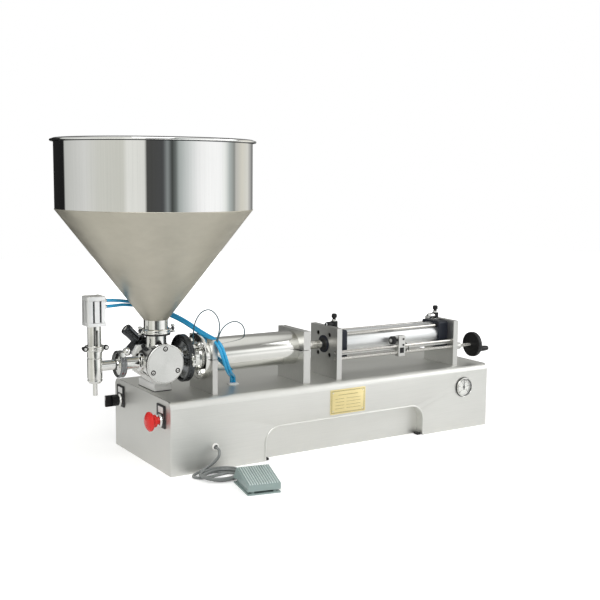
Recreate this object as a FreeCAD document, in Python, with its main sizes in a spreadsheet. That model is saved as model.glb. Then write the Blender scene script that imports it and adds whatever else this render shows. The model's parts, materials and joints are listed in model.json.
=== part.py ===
import FreeCAD, Part
import math
import os
import Sketcher
from FreeCAD import Placement, Rotation, Vector

# Bench-top piston paste filler, in millimetres: a folded base carries a material cylinder and an
# air cylinder in line, a three-way rotary valve under a conical hopper, and a shut-off nozzle.
# X runs along the base towards the handwheel, Y away from the front skirt, Z up.
# The origin is the centre of the base's underside.

doc = FreeCAD.newDocument("PasteFiller")
sheet = doc.addObject("Spreadsheet::Sheet", "Sizes")

SIZES = (
    ("chassis_length", 864.0), ("chassis_width", 297.0), ("chassis_height", 155.3),
    ("sheet_wall", 2.0), ("top_bend_radius", 15.5),
    ("arch_from_left", 224.0), ("arch_span", 438.0), ("arch_height", 75.0),
    ("arch_corner", 40.0), ("arch_recess", 24.0), ("bottom_plate_wall", 2.0), ("loose_gap", 0.4),
    ("axis_from_front", 78.2), ("axis_above_top", 75.3), ("valve_from_left", 4.3),
    ("saddle_width", 110.0), ("saddle_above_axis", 42.4), ("saddle_split", 1.0),
    ("first_saddle_from_left", 108.1), ("first_saddle_wall", 12.0),
    ("second_saddle_from_left", 334.8), ("second_saddle_wall", 18.0),
    ("front_plate_from_left", 424.7), ("front_plate_wall", 13.5),
    ("rear_plate_from_right", 93.0), ("rear_plate_wall", 14.5), ("rear_plate_above_axis", 35.0),
    ("saddle_screw_radius", 3.0), ("saddle_screw_head", 5.0), ("saddle_screw_inset", 8.5),
    ("material_outer", 37.7), ("material_bore", 34.0), ("material_seat", 8.0),
    ("throat_bore", 28.0), ("throat_wall", 3.5),
    ("flange_radius", 50.0), ("flange_wall", 12.0), ("stud_circle", 42.0), ("stud_radius", 4.0),
    ("acorn_radius", 7.5), ("acorn_length", 13.0),
    ("piston_length", 26.0), ("piston_play", 0.05), ("piston_start", 8.0), ("seal_width", 9.0),
    ("seal_depth", 3.0), ("rod_radius", 10.0), ("rod_play", 0.05),
    ("cap_side", 65.0), ("cap_length", 30.0), ("rear_cap_length", 28.0), ("cap_corner", 6.0),
    ("boss_radius", 20.0), ("boss_stand", 2.0), ("air_bore", 25.0), ("air_wall", 3.5),
    ("tie_spacing", 46.5), ("tie_radius", 4.0), ("air_piston_length", 26.0),
    ("port_radius", 5.5), ("cap_screw_radius", 3.0), ("cap_screw_head", 5.5),
    ("cap_screw_recess", 6.0),
    ("elbow_height", 30.0), ("elbow_radius", 9.0), ("elbow_arm", 24.0), ("elbow_arm_radius", 6.5),
    ("knob_stem_radius", 4.0), ("knob_radius", 6.5), ("knob_length", 9.5), ("knob_rise", 14.0),
    ("screw_axis_inset", 7.8), ("screw_below_axis", 29.0), ("screw_radius", 4.0),
    ("guide_below_axis", 13.5), ("guide_radius", 3.5), ("sliding_play", 0.05),
    ("carriage_from_left", 602.0), ("carriage_length", 20.0), ("carriage_depth", 14.0),
    ("carriage_above_axis", 10.0), ("carriage_below_axis", 38.0), ("sensor_gap", 3.7),
    ("wheel_from_right", 31.0), ("wheel_radius", 30.0), ("wheel_wall", 14.0),
    ("grip_radius", 7.0), ("grip_length", 28.0), ("grip_offset", 19.0), ("grip_pin_radius", 3.0),
    ("valve_radius", 37.0), ("valve_depth", 67.0), ("cover_radius", 41.0), ("cover_wall", 8.0),
    ("cover_from_front", 31.2), ("cover_screw_circle", 31.5), ("cover_screw_radius", 3.0),
    ("rotor_radius", 24.0), ("rotor_length", 56.0), ("passage_radius", 12.0), ("rear_wall", 8.0),
    ("spindle_radius", 8.0), ("pinion_module", 1.25), ("pinion_width", 16.0),
    ("ferrule_wall", 3.2), ("gasket_wall", 1.6),
    ("hopper_radius", 200.0), ("hopper_wall", 1.5), ("hopper_side", 135.6),
    ("hopper_cone", 228.3), ("hopper_outlet", 25.4), ("rim_radius", 4.0),
    ("neck_length", 27.0), ("hopper_ferrule", 32.0), ("hopper_seam", 56.0),
    ("valve_neck_radius", 21.5),
    ("large_ferrule", 46.0), ("large_clamp", 50.5), ("large_seam_from_left", 65.0),
    ("small_ferrule", 25.2), ("small_clamp", 27.0), ("small_seam_from_left", -77.0),
    ("feed_radius", 10.5), ("feed_bore", 8.5),
    ("nozzle_from_left", -130.0), ("nozzle_radius", 15.0), ("nozzle_bore", 9.0),
    ("nozzle_top", 31.5), ("nozzle_bottom", 33.5), ("tip_radius", 4.6), ("tip_bore", 3.2),
    ("tip_length", 26.0), ("needle_radius", 3.5),
    ("yoke_radius", 13.7), ("yoke_height", 52.0), ("small_cylinder_side", 38.0),
    ("small_cylinder_height", 60.0), ("small_cylinder_bore", 15.0),
    ("foot_from_left", 14.5), ("foot_length", 40.0), ("foot_from_front", 112.0),
    ("foot_depth", 84.0), ("foot_height", 17.0), ("bracket_wall", 10.0),
    ("rack_radius", 9.0), ("rack_tube_radius", 12.0), ("rack_tube_bore", 10.0),
    ("housing_depth", 36.0),
    ("gauge_from_right", 76.5), ("gauge_height", 104.0), ("gauge_radius", 24.5), ("gauge_depth", 26.0),
    ("regulator_side", 40.0), ("regulator_height", 60.0), ("regulator_bowl", 16.0),
    ("button_height", 111.0), ("stop_from_front", 44.0), ("selector_from_rear", 35.0),
    ("switch_depth", 34.0), ("switch_radius", 10.8), ("switch_collar", 14.5), ("switch_stem", 8.2),
    ("legend_width", 40.0), ("legend_height", 48.0), ("mushroom_radius", 20.5),
    ("panel_hole_radius", 11.1),
    ("plate_from_left", 440.5), ("plate_height", 110.0), ("plate_width", 97.0),
    ("plate_tall", 57.0), ("plate_wall", 0.8),
    ("cable_from_left", 102.0), ("cable_height", 50.0), ("cord_radius", 3.0),
    ("gland_from_left", 198.5), ("gland_from_front", 101.0), ("air_tube_radius", 3.0),
    ("tube_spread", 3.8),
    ("pedal_width", 68.0), ("pedal_length", 92.0), ("pedal_toe", 20.0), ("pedal_ridge", 37.0),
    ("pedal_floor", 3.0), ("pedal_boss", 10.0), ("pedal_wall", 2.5), ("pedal_base_height", 12.0),
    ("pedal_angle", -11.0), ("pedal_from_left", 77.0), ("pedal_before_front", 184.0),
    ("inlet_from_right", 64.0), ("inlet_height", 60.0), ("inlet_bore", 4.0),
    ("bank_length", 90.0), ("bank_width", 50.0), ("bank_base", 12.0), ("bank_valve", 18.0),
    ("bank_valve_height", 34.0), ("bank_coil", 22.0),
)


class Size:
    """A length as a number, with the sheet expression that gives the same number."""

    def __init__(self, value, text):
        self.value = float(value)
        self.text = text

    def __add__(self, other):
        other = as_size(other)
        return Size(self.value + other.value, f"({self.text} + {other.text})")

    def __sub__(self, other):
        other = as_size(other)
        return Size(self.value - other.value, f"({self.text} - {other.text})")

    def __mul__(self, other):
        other = as_size(other)
        return Size(self.value * other.value, f"({self.text} * {other.text})")

    def __truediv__(self, other):
        other = as_size(other)
        return Size(self.value / other.value, f"({self.text} / {other.text})")

    def __radd__(self, other):
        return as_size(other) + self

    def __rsub__(self, other):
        return as_size(other) - self

    def __rmul__(self, other):
        return as_size(other) * self

    def __neg__(self):
        return Size(0, "0") - self


def as_size(number):
    """A plain number as a Size, or the Size itself."""
    if isinstance(number, Size):
        return number
    return Size(number, f"({float(number)!r})")


class Dimensions:
    """The driving dimensions by name, each one a cell of the sheet."""


dim = Dimensions()
for row, (alias, value) in enumerate(SIZES, start=1):
    sheet.set(f"A{row}", alias)
    sheet.set(f"B{row}", str(value))
    sheet.setAlias(f"B{row}", alias)
    setattr(dim, alias, Size(value, f"Sizes.{alias}"))
doc.recompute()


# Building blocks

AXIS_TURN = {
    "Z": Rotation(),
    "X": Rotation(Vector(0, 1, 0), 90),
    "Y": Rotation(Vector(1, 0, 0), -90),
}
SPIN_TURN = {
    "X": Rotation(),
    "Y": Rotation(Vector(0, 0, 1), 90),
    "Z": Rotation(Vector(0, 1, 0), -90),
    "-X": Rotation(Vector(0, 0, 1), 180),
    "-Y": Rotation(Vector(0, 0, 1), -90),
    "-Z": Rotation(Vector(0, 1, 0), 90),
}
FACE_TURN = {
    "Z": Rotation(),
    "Y": Rotation(Vector(1, 0, 0), 90),
    "X": Rotation(Vector(1, 1, 1), 120),
}
nodes = []
fasteners = []
seals = []


def bind(thing, prop, size):
    """Ties one property to the sheet."""
    thing.setExpression(prop, as_size(size).text)


def place(thing, at, turn):
    """Puts an object at three bound coordinates, turned by a fixed rotation."""
    corner = [as_size(number) for number in at]
    thing.Placement = Placement(Vector(*[size.value for size in corner]), turn)
    for letter, size in zip("xyz", corner):
        bind(thing, f"Placement.Base.{letter}", size)


def rod(name, radius, length, at, along="Z"):
    """A round bar that starts at a point and runs in the positive direction of an axis."""
    thing = doc.addObject("Part::Cylinder", name)
    bind(thing, "Radius", radius)
    bind(thing, "Height", length)
    place(thing, at, AXIS_TURN[along])
    return thing


def block(name, sides, at):
    """A rectangular block from its lowest corner."""
    thing = doc.addObject("Part::Box", name)
    for prop, size in zip(("Length", "Width", "Height"), sides):
        bind(thing, prop, size)
    place(thing, at, Rotation())
    return thing


def nut(name, across, length, at, along="Z"):
    """A hexagonal bar, its size across the corners."""
    thing = doc.addObject("Part::Prism", name)
    thing.Polygon = 6
    bind(thing, "Circumradius", as_size(across) / 2)
    bind(thing, "Height", length)
    place(thing, at, AXIS_TURN[along])
    return thing


def fuse(name, *pieces):
    """One solid from several that touch."""
    thing = doc.addObject("Part::MultiFuse", name)
    thing.Shapes = list(pieces)
    thing.Refine = True
    return thing


def cut(name, base, *tools):
    """A solid with one or more others taken out of it."""
    thing = doc.addObject("Part::Cut", name)
    thing.Base = base
    thing.Tool = tools[0] if len(tools) == 1 else fuse(name + "_tools", *tools)
    return thing


def group(name, *pieces):
    """Separate solids kept together in one node."""
    thing = doc.addObject("Part::Compound", name)
    thing.Links = list(pieces)
    return thing


def tube(name, outer, inner, length, at, along="Z"):
    """A round pipe."""
    return cut(name, rod(name + "_outer", outer, length, at, along),
               rod(name + "_bore", inner, length, at, along))


def screw(name, radius, head_radius, head_length, length, at, along):
    """A cap screw from the top of its head; its length takes in the head."""
    return turned(name, ((0, 0), (0, head_radius), (head_length, head_radius), (head_length, radius),
                         (length, radius), (length, 0)), at, along)


def draw(sketch, outline):
    """A closed outline whose corners are tied to the sheet one by one."""
    corners = [(as_size(across), as_size(up)) for across, up in outline]
    for index, (across, up) in enumerate(corners):
        next_across, next_up = corners[(index + 1) % len(corners)]
        start = Vector(across.value, up.value, 0)
        end = Vector(next_across.value, next_up.value, 0)
        sketch.addGeometry(Part.LineSegment(start, end), False)
    for index in range(len(corners)):
        sketch.addConstraint(Sketcher.Constraint("Coincident", index, 2, (index + 1) % len(corners), 1))
    for index, corner in enumerate(corners):
        for kind, size in zip(("DistanceX", "DistanceY"), corner):
            number = sketch.addConstraint(Sketcher.Constraint(kind, -1, 1, index, 1, size.value))
            bind(sketch, f"Constraints[{number}]", size)


def new_sketch(body, name, outline):
    """A sketch of the outline on the body's own XY plane."""
    sketch = body.newObject("Sketcher::SketchObject", name + "_outline")
    plane = [item for item in body.Origin.OriginFeatures if item.Role == "XY_Plane"][0]
    sketch.AttachmentSupport = [(plane, "")]
    sketch.MapMode = "FlatFace"
    draw(sketch, outline)
    return sketch


def turned(name, profile, at, along="X"):
    """A lathe part: a profile of (distance along the axis, radius) spun round the axis."""
    body = doc.addObject("PartDesign::Body", name)
    sketch = new_sketch(body, name, profile)
    spin = body.newObject("PartDesign::Revolution", name + "_spin")
    spin.Profile = sketch
    spin.ReferenceAxis = (sketch, ["H_Axis"])
    spin.Angle = 360
    place(body, at, SPIN_TURN[along])
    return body


def padded(name, outline, depth, at, facing="Z", rounds=()):
    """A plate part: an outline given a depth, then edges rounded.

    Facing Z the outline is (x, y) and grows up. Facing X it is (y, z) and grows towards +X.
    Facing Y it is (x, z) and grows towards -Y. Each round is a radius and a test of an edge.
    """
    body = doc.addObject("PartDesign::Body", name)
    sketch = new_sketch(body, name, outline)
    pad = body.newObject("PartDesign::Pad", name + "_pad")
    pad.Profile = sketch
    bind(pad, "Length", depth)
    for number, (radius, wanted) in enumerate(rounds):
        doc.recompute()
        base = body.Tip
        edges = [f"Edge{index}" for index, edge in enumerate(base.Shape.Edges, start=1) if wanted(edge)]
        fillet = body.newObject("PartDesign::Fillet", f"{name}_round{number}")
        fillet.Base = (base, edges)
        bind(fillet, "Radius", radius)
    place(body, at, FACE_TURN[facing])
    return body


def rectangle(width, height):
    """A rectangle's corners from the origin."""
    return ((0, 0), (width, 0), (width, height), (0, height))


def runs_along(edge, axis):
    """Whether a straight edge runs along one axis of its body."""
    if not isinstance(edge.Curve, Part.Line):
        return False
    return abs(edge.tangentAt(edge.FirstParameter).dot(axis)) > 0.999


def runs_deep(edge):
    """Whether an edge is one of the corners that a pad's depth makes."""
    return runs_along(edge, Vector(0, 0, 1))


def node(thing, label):
    """Names a finished sub-part."""
    thing.Label = label
    nodes.append(thing)
    return thing


def polar(radius, degrees):
    """A point on a circle as two sizes."""
    angle = math.radians(degrees)
    return as_size(radius) * math.cos(angle), as_size(radius) * math.sin(angle)


# Places that several pieces share

left = -dim.chassis_length / 2
right = dim.chassis_length / 2
front = -dim.chassis_width / 2
rear = dim.chassis_width / 2
top = dim.chassis_height
axis_y = front + dim.axis_from_front
axis_z = top + dim.axis_above_top
valve_x = left + dim.valve_from_left
nozzle_x = left + dim.nozzle_from_left
saddle_front = axis_y - dim.saddle_width / 2
rear_plate_x = right - dim.rear_plate_from_right
gauge_x = right - dim.gauge_from_right
inlet_x = right - dim.inlet_from_right
spindle_y = saddle_front + dim.screw_axis_inset
switch_places = (("stop", front + dim.stop_from_front), ("selector", rear - dim.selector_from_rear))


# Base: folded shell with an arched recess in each long skirt

def chassis_block(name, inset):
    """The outside of the folded base, or its inside when inset by the sheet's wall."""
    def is_top_edge(edge):
        return runs_deep(edge) and edge.CenterOfMass.y > 1.0

    return padded(name, rectangle(dim.chassis_width - inset * 2, dim.chassis_height - inset),
                  dim.chassis_length - inset * 2, (left + inset, front + inset, 0), "X",
                  ((dim.top_bend_radius - inset, is_top_edge),))


def arch_block(name, grow, depth, far_face):
    """The arched recess, or its grown copy that keeps the sheet's wall round it."""
    def is_arch_corner(edge):
        return runs_deep(edge) and edge.CenterOfMass.y > 1.0

    return padded(name, rectangle(dim.arch_span + grow * 2, dim.arch_height + grow), depth,
                  (left + dim.arch_from_left - grow, far_face, 0), "Y",
                  ((dim.arch_corner + grow, is_arch_corner),))


def build_chassis():
    wall = dim.sheet_wall
    outside = chassis_block("base_outside", as_size(0))
    inside = chassis_block("base_inside", wall)
    deep = dim.arch_recess
    grown = [arch_block("front_arch_wall", wall, deep + wall, front + deep + wall),
             arch_block("rear_arch_wall", wall, deep + wall, rear)]
    arches = [arch_block("front_arch", as_size(0), deep, front + deep),
              arch_block("rear_arch", as_size(0), deep, rear)]
    cavity = cut("base_cavity", inside, *grown)
    sides = [
        rod("gauge_hole", dim.gauge_radius - 2, 4 * wall,
            (gauge_x, front - wall, dim.gauge_height), "Y"),
        rod("cable_hole", dim.cord_radius + 3, 4 * wall,
            (left + dim.cable_from_left, front - wall, dim.cable_height), "Y"),
        *[rod(name + "_hole", dim.panel_hole_radius, 4 * wall, (left - wall, y, dim.button_height), "X")
          for name, y in switch_places],
        rod("gland_hole", dim.tube_spread + dim.air_tube_radius + 1.1, 4 * wall,
            (left + dim.gland_from_left, front + dim.gland_from_front, top - 2 * wall), "Z"),
        rod("inlet_hole", dim.inlet_bore + 4.1, 4 * wall,
            (inlet_x, rear - 2 * wall, dim.inlet_height), "Y"),
    ]
    node(cut("chassis", outside, cavity, *arches, *sides), "chassis_shell")


def build_bottom_plate():
    gap = dim.sheet_wall + dim.loose_gap
    neck = dim.sheet_wall + dim.arch_recess + dim.loose_gap
    long = dim.chassis_length - gap * 2
    wide = dim.chassis_width - gap * 2
    start = dim.arch_from_left - gap - dim.sheet_wall - dim.loose_gap
    end = start + dim.arch_span + dim.sheet_wall * 2 + dim.loose_gap * 2
    step = neck - gap
    outline = ((0, 0), (start, 0), (start, step), (end, step), (end, 0), (long, 0),
               (long, wide), (end, wide), (end, wide - step), (start, wide - step),
               (start, wide), (0, wide))
    node(padded("bottom", outline, dim.bottom_plate_wall, (left + gap, front + gap, 0)), "bottom_plate")


# Split saddles that clamp the material cylinder

def build_saddle(name, from_left, wall):
    bore = dim.material_outer + 0.1
    x = left + from_left
    half = dim.saddle_split / 2
    reach = dim.saddle_width / 2 - dim.saddle_screw_inset
    lower_height = axis_z - half - top
    lower = block(name + "_lower_block", (wall, dim.saddle_width, lower_height), (x, saddle_front, top))
    upper = block(name + "_upper_block", (wall, dim.saddle_width, dim.saddle_above_axis - half),
                  (x, saddle_front, axis_z + half))
    seat = [rod(f"{name}_bore{index}", bore, wall, (x, axis_y, axis_z), "X") for index in range(2)]
    screws = []
    upper_holes = []
    lower_holes = []
    middle = x + wall / 2
    depth = dim.saddle_above_axis - dim.saddle_screw_head
    for index, side in enumerate((-1, 1)):
        y = axis_y + side * reach
        head_base = axis_z + depth - 1
        label = f"{name}_screw{index}"
        head = dim.saddle_screw_head
        screws.append(screw(label, dim.saddle_screw_radius, head - 0.2, head, depth + 19,
                            (middle, y, head_base + head), "-Z"))
        upper_holes.append(rod(label + "_clear", dim.saddle_screw_radius + 0.1, dim.saddle_above_axis,
                               (middle, y, axis_z)))
        upper_holes.append(rod(label + "_counterbore", dim.saddle_screw_head, dim.saddle_screw_head + 2,
                               (middle, y, head_base)))
        lower_holes.append(rod(label + "_tap", dim.saddle_screw_radius, 16, (middle, y, axis_z - 15)))
    base = cut(name + "_lower", lower, seat[0], *lower_holes)
    return base, cut(name + "_upper", upper, seat[1], *upper_holes), screws


def build_saddles():
    first = build_saddle("front_saddle", dim.first_saddle_from_left, dim.first_saddle_wall)
    second = build_saddle("rear_saddle", dim.second_saddle_from_left, dim.second_saddle_wall)
    node(group("saddle_base_set", first[0], second[0]), "saddle_bases")
    node(group("saddle_cap_set", first[1], second[1]), "saddle_caps")
    fasteners.extend(first[2] + second[2])


# Material cylinder, its flange and the piston train

flange_face = left + dim.first_saddle_from_left
saddle_end = left + dim.second_saddle_from_left + dim.second_saddle_wall
large_seam = left + dim.large_seam_from_left
tube_start = flange_face - dim.material_seat


def build_material_cylinder():
    node(tube("material_tube", dim.material_outer, dim.material_bore, saddle_end - tube_start,
              (tube_start, axis_y, axis_z), "X"), "material_cylinder_tube")


def build_front_flange():
    """Turned flange: ferrule, neck, then the disc whose recess takes the tube's end."""
    half_gasket = dim.gasket_wall / 2
    start = large_seam + half_gasket
    face = flange_face - dim.flange_wall
    neck = dim.throat_bore + dim.throat_wall
    profile = (
        (0, dim.throat_bore), (0, dim.large_ferrule), (dim.ferrule_wall * 0.6, dim.large_ferrule),
        (dim.ferrule_wall, neck), (face - start, neck),
        (face - start, dim.flange_radius), (flange_face - start, dim.flange_radius),
        (flange_face - start, dim.material_outer), (tube_start - start, dim.material_outer),
        (tube_start - start, dim.throat_bore))
    body = turned("flange", profile, (start, axis_y, axis_z))
    holes = []
    studs = []
    for index, angle in enumerate((45, 135, 225, 315)):
        across, up = polar(dim.stud_circle, angle)
        y = axis_y + across
        z = axis_z + up
        holes.append(rod(f"stud_hole{index}", dim.stud_radius, dim.flange_wall, (face, y, z), "X"))
        base = dim.acorn_length - dim.acorn_radius
        studs.append(turned(f"stud{index}", (
            (-dim.flange_wall, 0), (-dim.flange_wall, dim.stud_radius), (0, dim.stud_radius),
            (0, dim.acorn_radius), (base, dim.acorn_radius),
            (base + dim.acorn_radius * 0.7, dim.acorn_radius * 0.75), (dim.acorn_length, 0)),
            (face, y, z), "-X"))
    node(cut("front_flange_holed", body, *holes), "front_flange")
    fasteners.extend(studs)


def build_pistons():
    """Material piston, rod and air piston as they stand at the end of the discharge stroke."""
    start = flange_face + dim.piston_start
    radius = dim.material_bore - dim.piston_play
    groove = radius - dim.seal_depth
    land = (dim.piston_length - dim.seal_width) / 2
    node(turned("piston_head", (
        (0, 0), (0, radius), (land, radius), (land, groove), (land + dim.seal_width, groove),
        (land + dim.seal_width, radius), (dim.piston_length, radius), (dim.piston_length, 0)),
        (start, axis_y, axis_z)), "material_piston")
    rings = [tube("seal", radius, groove, dim.seal_width, (start + land, axis_y, axis_z), "X")]
    rod_start = start + dim.piston_length
    air_start = left + dim.front_plate_from_left + dim.front_plate_wall + dim.cap_length + 3
    node(rod("rod", dim.rod_radius, air_start - rod_start, (rod_start, axis_y, axis_z), "X"), "piston_rod")
    air = dim.air_bore - dim.piston_play
    third = dim.air_piston_length / 3
    node(turned("air_head", (
        (0, 0), (0, air), (third, air), (third, air - 2.5), (third * 2, air - 2.5), (third * 2, air),
        (dim.air_piston_length, air), (dim.air_piston_length, 0)), (air_start, axis_y, axis_z)), "air_piston")
    rings.append(tube("air_ring", air, air - 2.5, third, (air_start + third, axis_y, axis_z), "X"))
    node(group("seal_set", *rings), "piston_seals")


# Air cylinder between its two plates

def plate_screw(name, x, y, z, wall, facing):
    """A screw through a plate into the cap behind it, its head sunk in the plate's outer face."""
    sink = 1.5
    outer = x + sink if facing > 0 else x + wall - sink
    return screw(name, dim.cap_screw_radius, dim.cap_screw_head - 0.2, dim.cap_screw_recess - sink, wall + 3,
                 (outer, y, z), "X" if facing > 0 else "-X")


def build_plates():
    front_x = left + dim.front_plate_from_left
    rear_x = rear_plate_x
    guide = (spindle_y, axis_z - dim.guide_below_axis)
    spindle = (spindle_y, axis_z - dim.screw_below_axis)
    screws = []
    plates = []
    rest = (("front", front_x, dim.front_plate_wall, dim.saddle_above_axis, 1),
            ("rear", rear_x, dim.rear_plate_wall, dim.rear_plate_above_axis, -1))
    for name, x, wall, above, facing in rest:
        blank = block(name + "_blank", (wall, dim.saddle_width, axis_z + above - top), (x, saddle_front, top))
        tools = [rod(name + "_spindle_hole", dim.screw_radius + dim.sliding_play, wall, (x, *spindle), "X"),
                 rod(name + "_guide_hole", dim.guide_radius, wall, (x, *guide), "X")]
        if facing > 0:
            tools.append(rod(name + "_boss_hole", dim.boss_radius + 0.1, wall, (x, axis_y, axis_z), "X"))
        recess = x if facing > 0 else x + wall - dim.cap_screw_recess
        for index, (side, level) in enumerate(((-1, -1), (-1, 1), (1, -1), (1, 1))):
            y = axis_y + side * dim.tie_spacing / 2
            z = axis_z + level * dim.tie_spacing / 2
            label = f"{name}_hole{index}"
            tools.append(rod(label, dim.cap_screw_radius, wall, (x, y, z), "X"))
            tools.append(rod(label + "_recess", dim.cap_screw_head, dim.cap_screw_recess,
                             (recess, y, z), "X"))
            screws.append(plate_screw(f"{name}_screw{index}", x, y, z, wall, facing))
        plates.append(cut(name + "_plate", blank, *tools))
    collar = tube("collar", 8, dim.screw_radius + dim.sliding_play, 12,
                  (rear_x + dim.rear_plate_wall, *spindle), "X")
    node(plates[0], "cylinder_front_plate")
    node(group("rear_plate_set", plates[1], collar), "cylinder_rear_plate")
    fasteners.extend(screws)


def build_air_cylinder():
    cap_x = left + dim.front_plate_from_left + dim.front_plate_wall
    rear_x = rear_plate_x - dim.rear_cap_length
    half = dim.cap_side / 2
    tube_x = cap_x + dim.cap_length
    for name, x, length in (("front", cap_x, dim.cap_length), ("rear", rear_x, dim.rear_cap_length)):
        blank = padded(name + "_cap_blank", rectangle(dim.cap_side, dim.cap_side), length,
                       (x, axis_y - half, axis_z - half), "X", ((dim.cap_corner, runs_deep),))
        tools = [rod(name + "_port", dim.port_radius, half - 8, (x + length / 2, axis_y, axis_z + 8))]
        if name == "front":
            boss = rod("front_boss", dim.boss_radius, dim.front_plate_wall + dim.boss_stand,
                       (x - dim.front_plate_wall - dim.boss_stand, axis_y, axis_z), "X")
            blank = fuse("front_cap_body", blank, boss)
            tools.append(rod("front_rod_bore", dim.rod_radius + dim.rod_play,
                             length + dim.front_plate_wall + dim.boss_stand,
                             (x - dim.front_plate_wall - dim.boss_stand, axis_y, axis_z), "X"))
            tools.append(rod("wiper_seat", dim.rod_radius + 5, 5,
                             (x - dim.front_plate_wall - dim.boss_stand, axis_y, axis_z), "X"))
        tap = x if name == "front" else x + length - 5.5
        link = x + 5.5 if name == "front" else x
        for index, (side, level) in enumerate(((-1, -1), (-1, 1), (1, -1), (1, 1))):
            y = axis_y + side * dim.tie_spacing / 2
            z = axis_z + level * dim.tie_spacing / 2
            tools.append(rod(f"{name}_tap{index}", dim.cap_screw_radius, 5.5, (tap, y, z), "X"))
            tools.append(rod(f"{name}_tie_hole{index}", dim.tie_radius, length - 5.5, (link, y, z), "X"))
        node(cut(name + "_cap", blank, *tools), f"air_cylinder_{name}_cap")
    wiper_x = cap_x - dim.front_plate_wall - dim.boss_stand
    seals.append(tube("wiper", dim.rod_radius + 5, dim.rod_radius + dim.rod_play, 5,
                      (wiper_x, axis_y, axis_z), "X"))
    node(tube("air_tube", dim.air_bore + dim.air_wall, dim.air_bore, rear_x - tube_x,
              (tube_x, axis_y, axis_z), "X"), "air_cylinder_tube")
    ties = []
    for index, (side, level) in enumerate(((-1, -1), (-1, 1), (1, -1), (1, 1))):
        ties.append(rod(f"tie{index}", dim.tie_radius, rear_x - tube_x + dim.cap_length
                        + dim.rear_cap_length - 11,
                        (cap_x + 5.5, axis_y + side * dim.tie_spacing / 2,
                         axis_z + level * dim.tie_spacing / 2), "X"))
    node(group("tie_set", *ties), "tie_rods")


def build_flow_controls():
    """Elbow fittings with a needle screw on the two ports of the air cylinder."""
    cap_top = axis_z + dim.cap_side / 2
    cap_x = left + dim.front_plate_from_left + dim.front_plate_wall + dim.cap_length / 2
    rear_x = rear_plate_x - dim.rear_cap_length / 2
    elbows = []
    port = dim.port_radius - 0.1
    bore = dim.knob_stem_radius + 0.2
    axis = dim.elbow_height
    for name, x in (("front", cap_x), ("rear", rear_x)):
        body = turned(name + "_elbow_body", (
            (-6, 0), (-6, port), (0, port), (0, dim.elbow_radius), (axis + 8, dim.elbow_radius),
            (axis + 8, 0)), (x, axis_y, cap_top), "Z")
        arm = rod(name + "_elbow_arm", dim.elbow_arm_radius, dim.elbow_arm,
                  (x - dim.elbow_arm, axis_y, cap_top + axis), "X")
        elbows.append(cut(name + "_elbow", fuse(name + "_elbow_solid", body, arm),
                          rod(name + "_elbow_bore", bore, 12, (x, axis_y, cap_top + axis - 4)),
                          rod(name + "_elbow_socket", dim.air_tube_radius + 0.1, 10,
                              (x - dim.elbow_arm, axis_y, cap_top + axis), "X")))
        head = axis + dim.knob_rise
        node(turned(name + "_knob", (
            (axis - 3.5, 0), (axis - 3.5, dim.knob_stem_radius), (head, dim.knob_stem_radius),
            (head, dim.knob_radius), (head + dim.knob_length, dim.knob_radius),
            (head + dim.knob_length, 0)), (x, axis_y, cap_top), "Z"), f"{name}_flow_knob")
    node(group("elbow_set", *elbows), "flow_controls")


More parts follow.
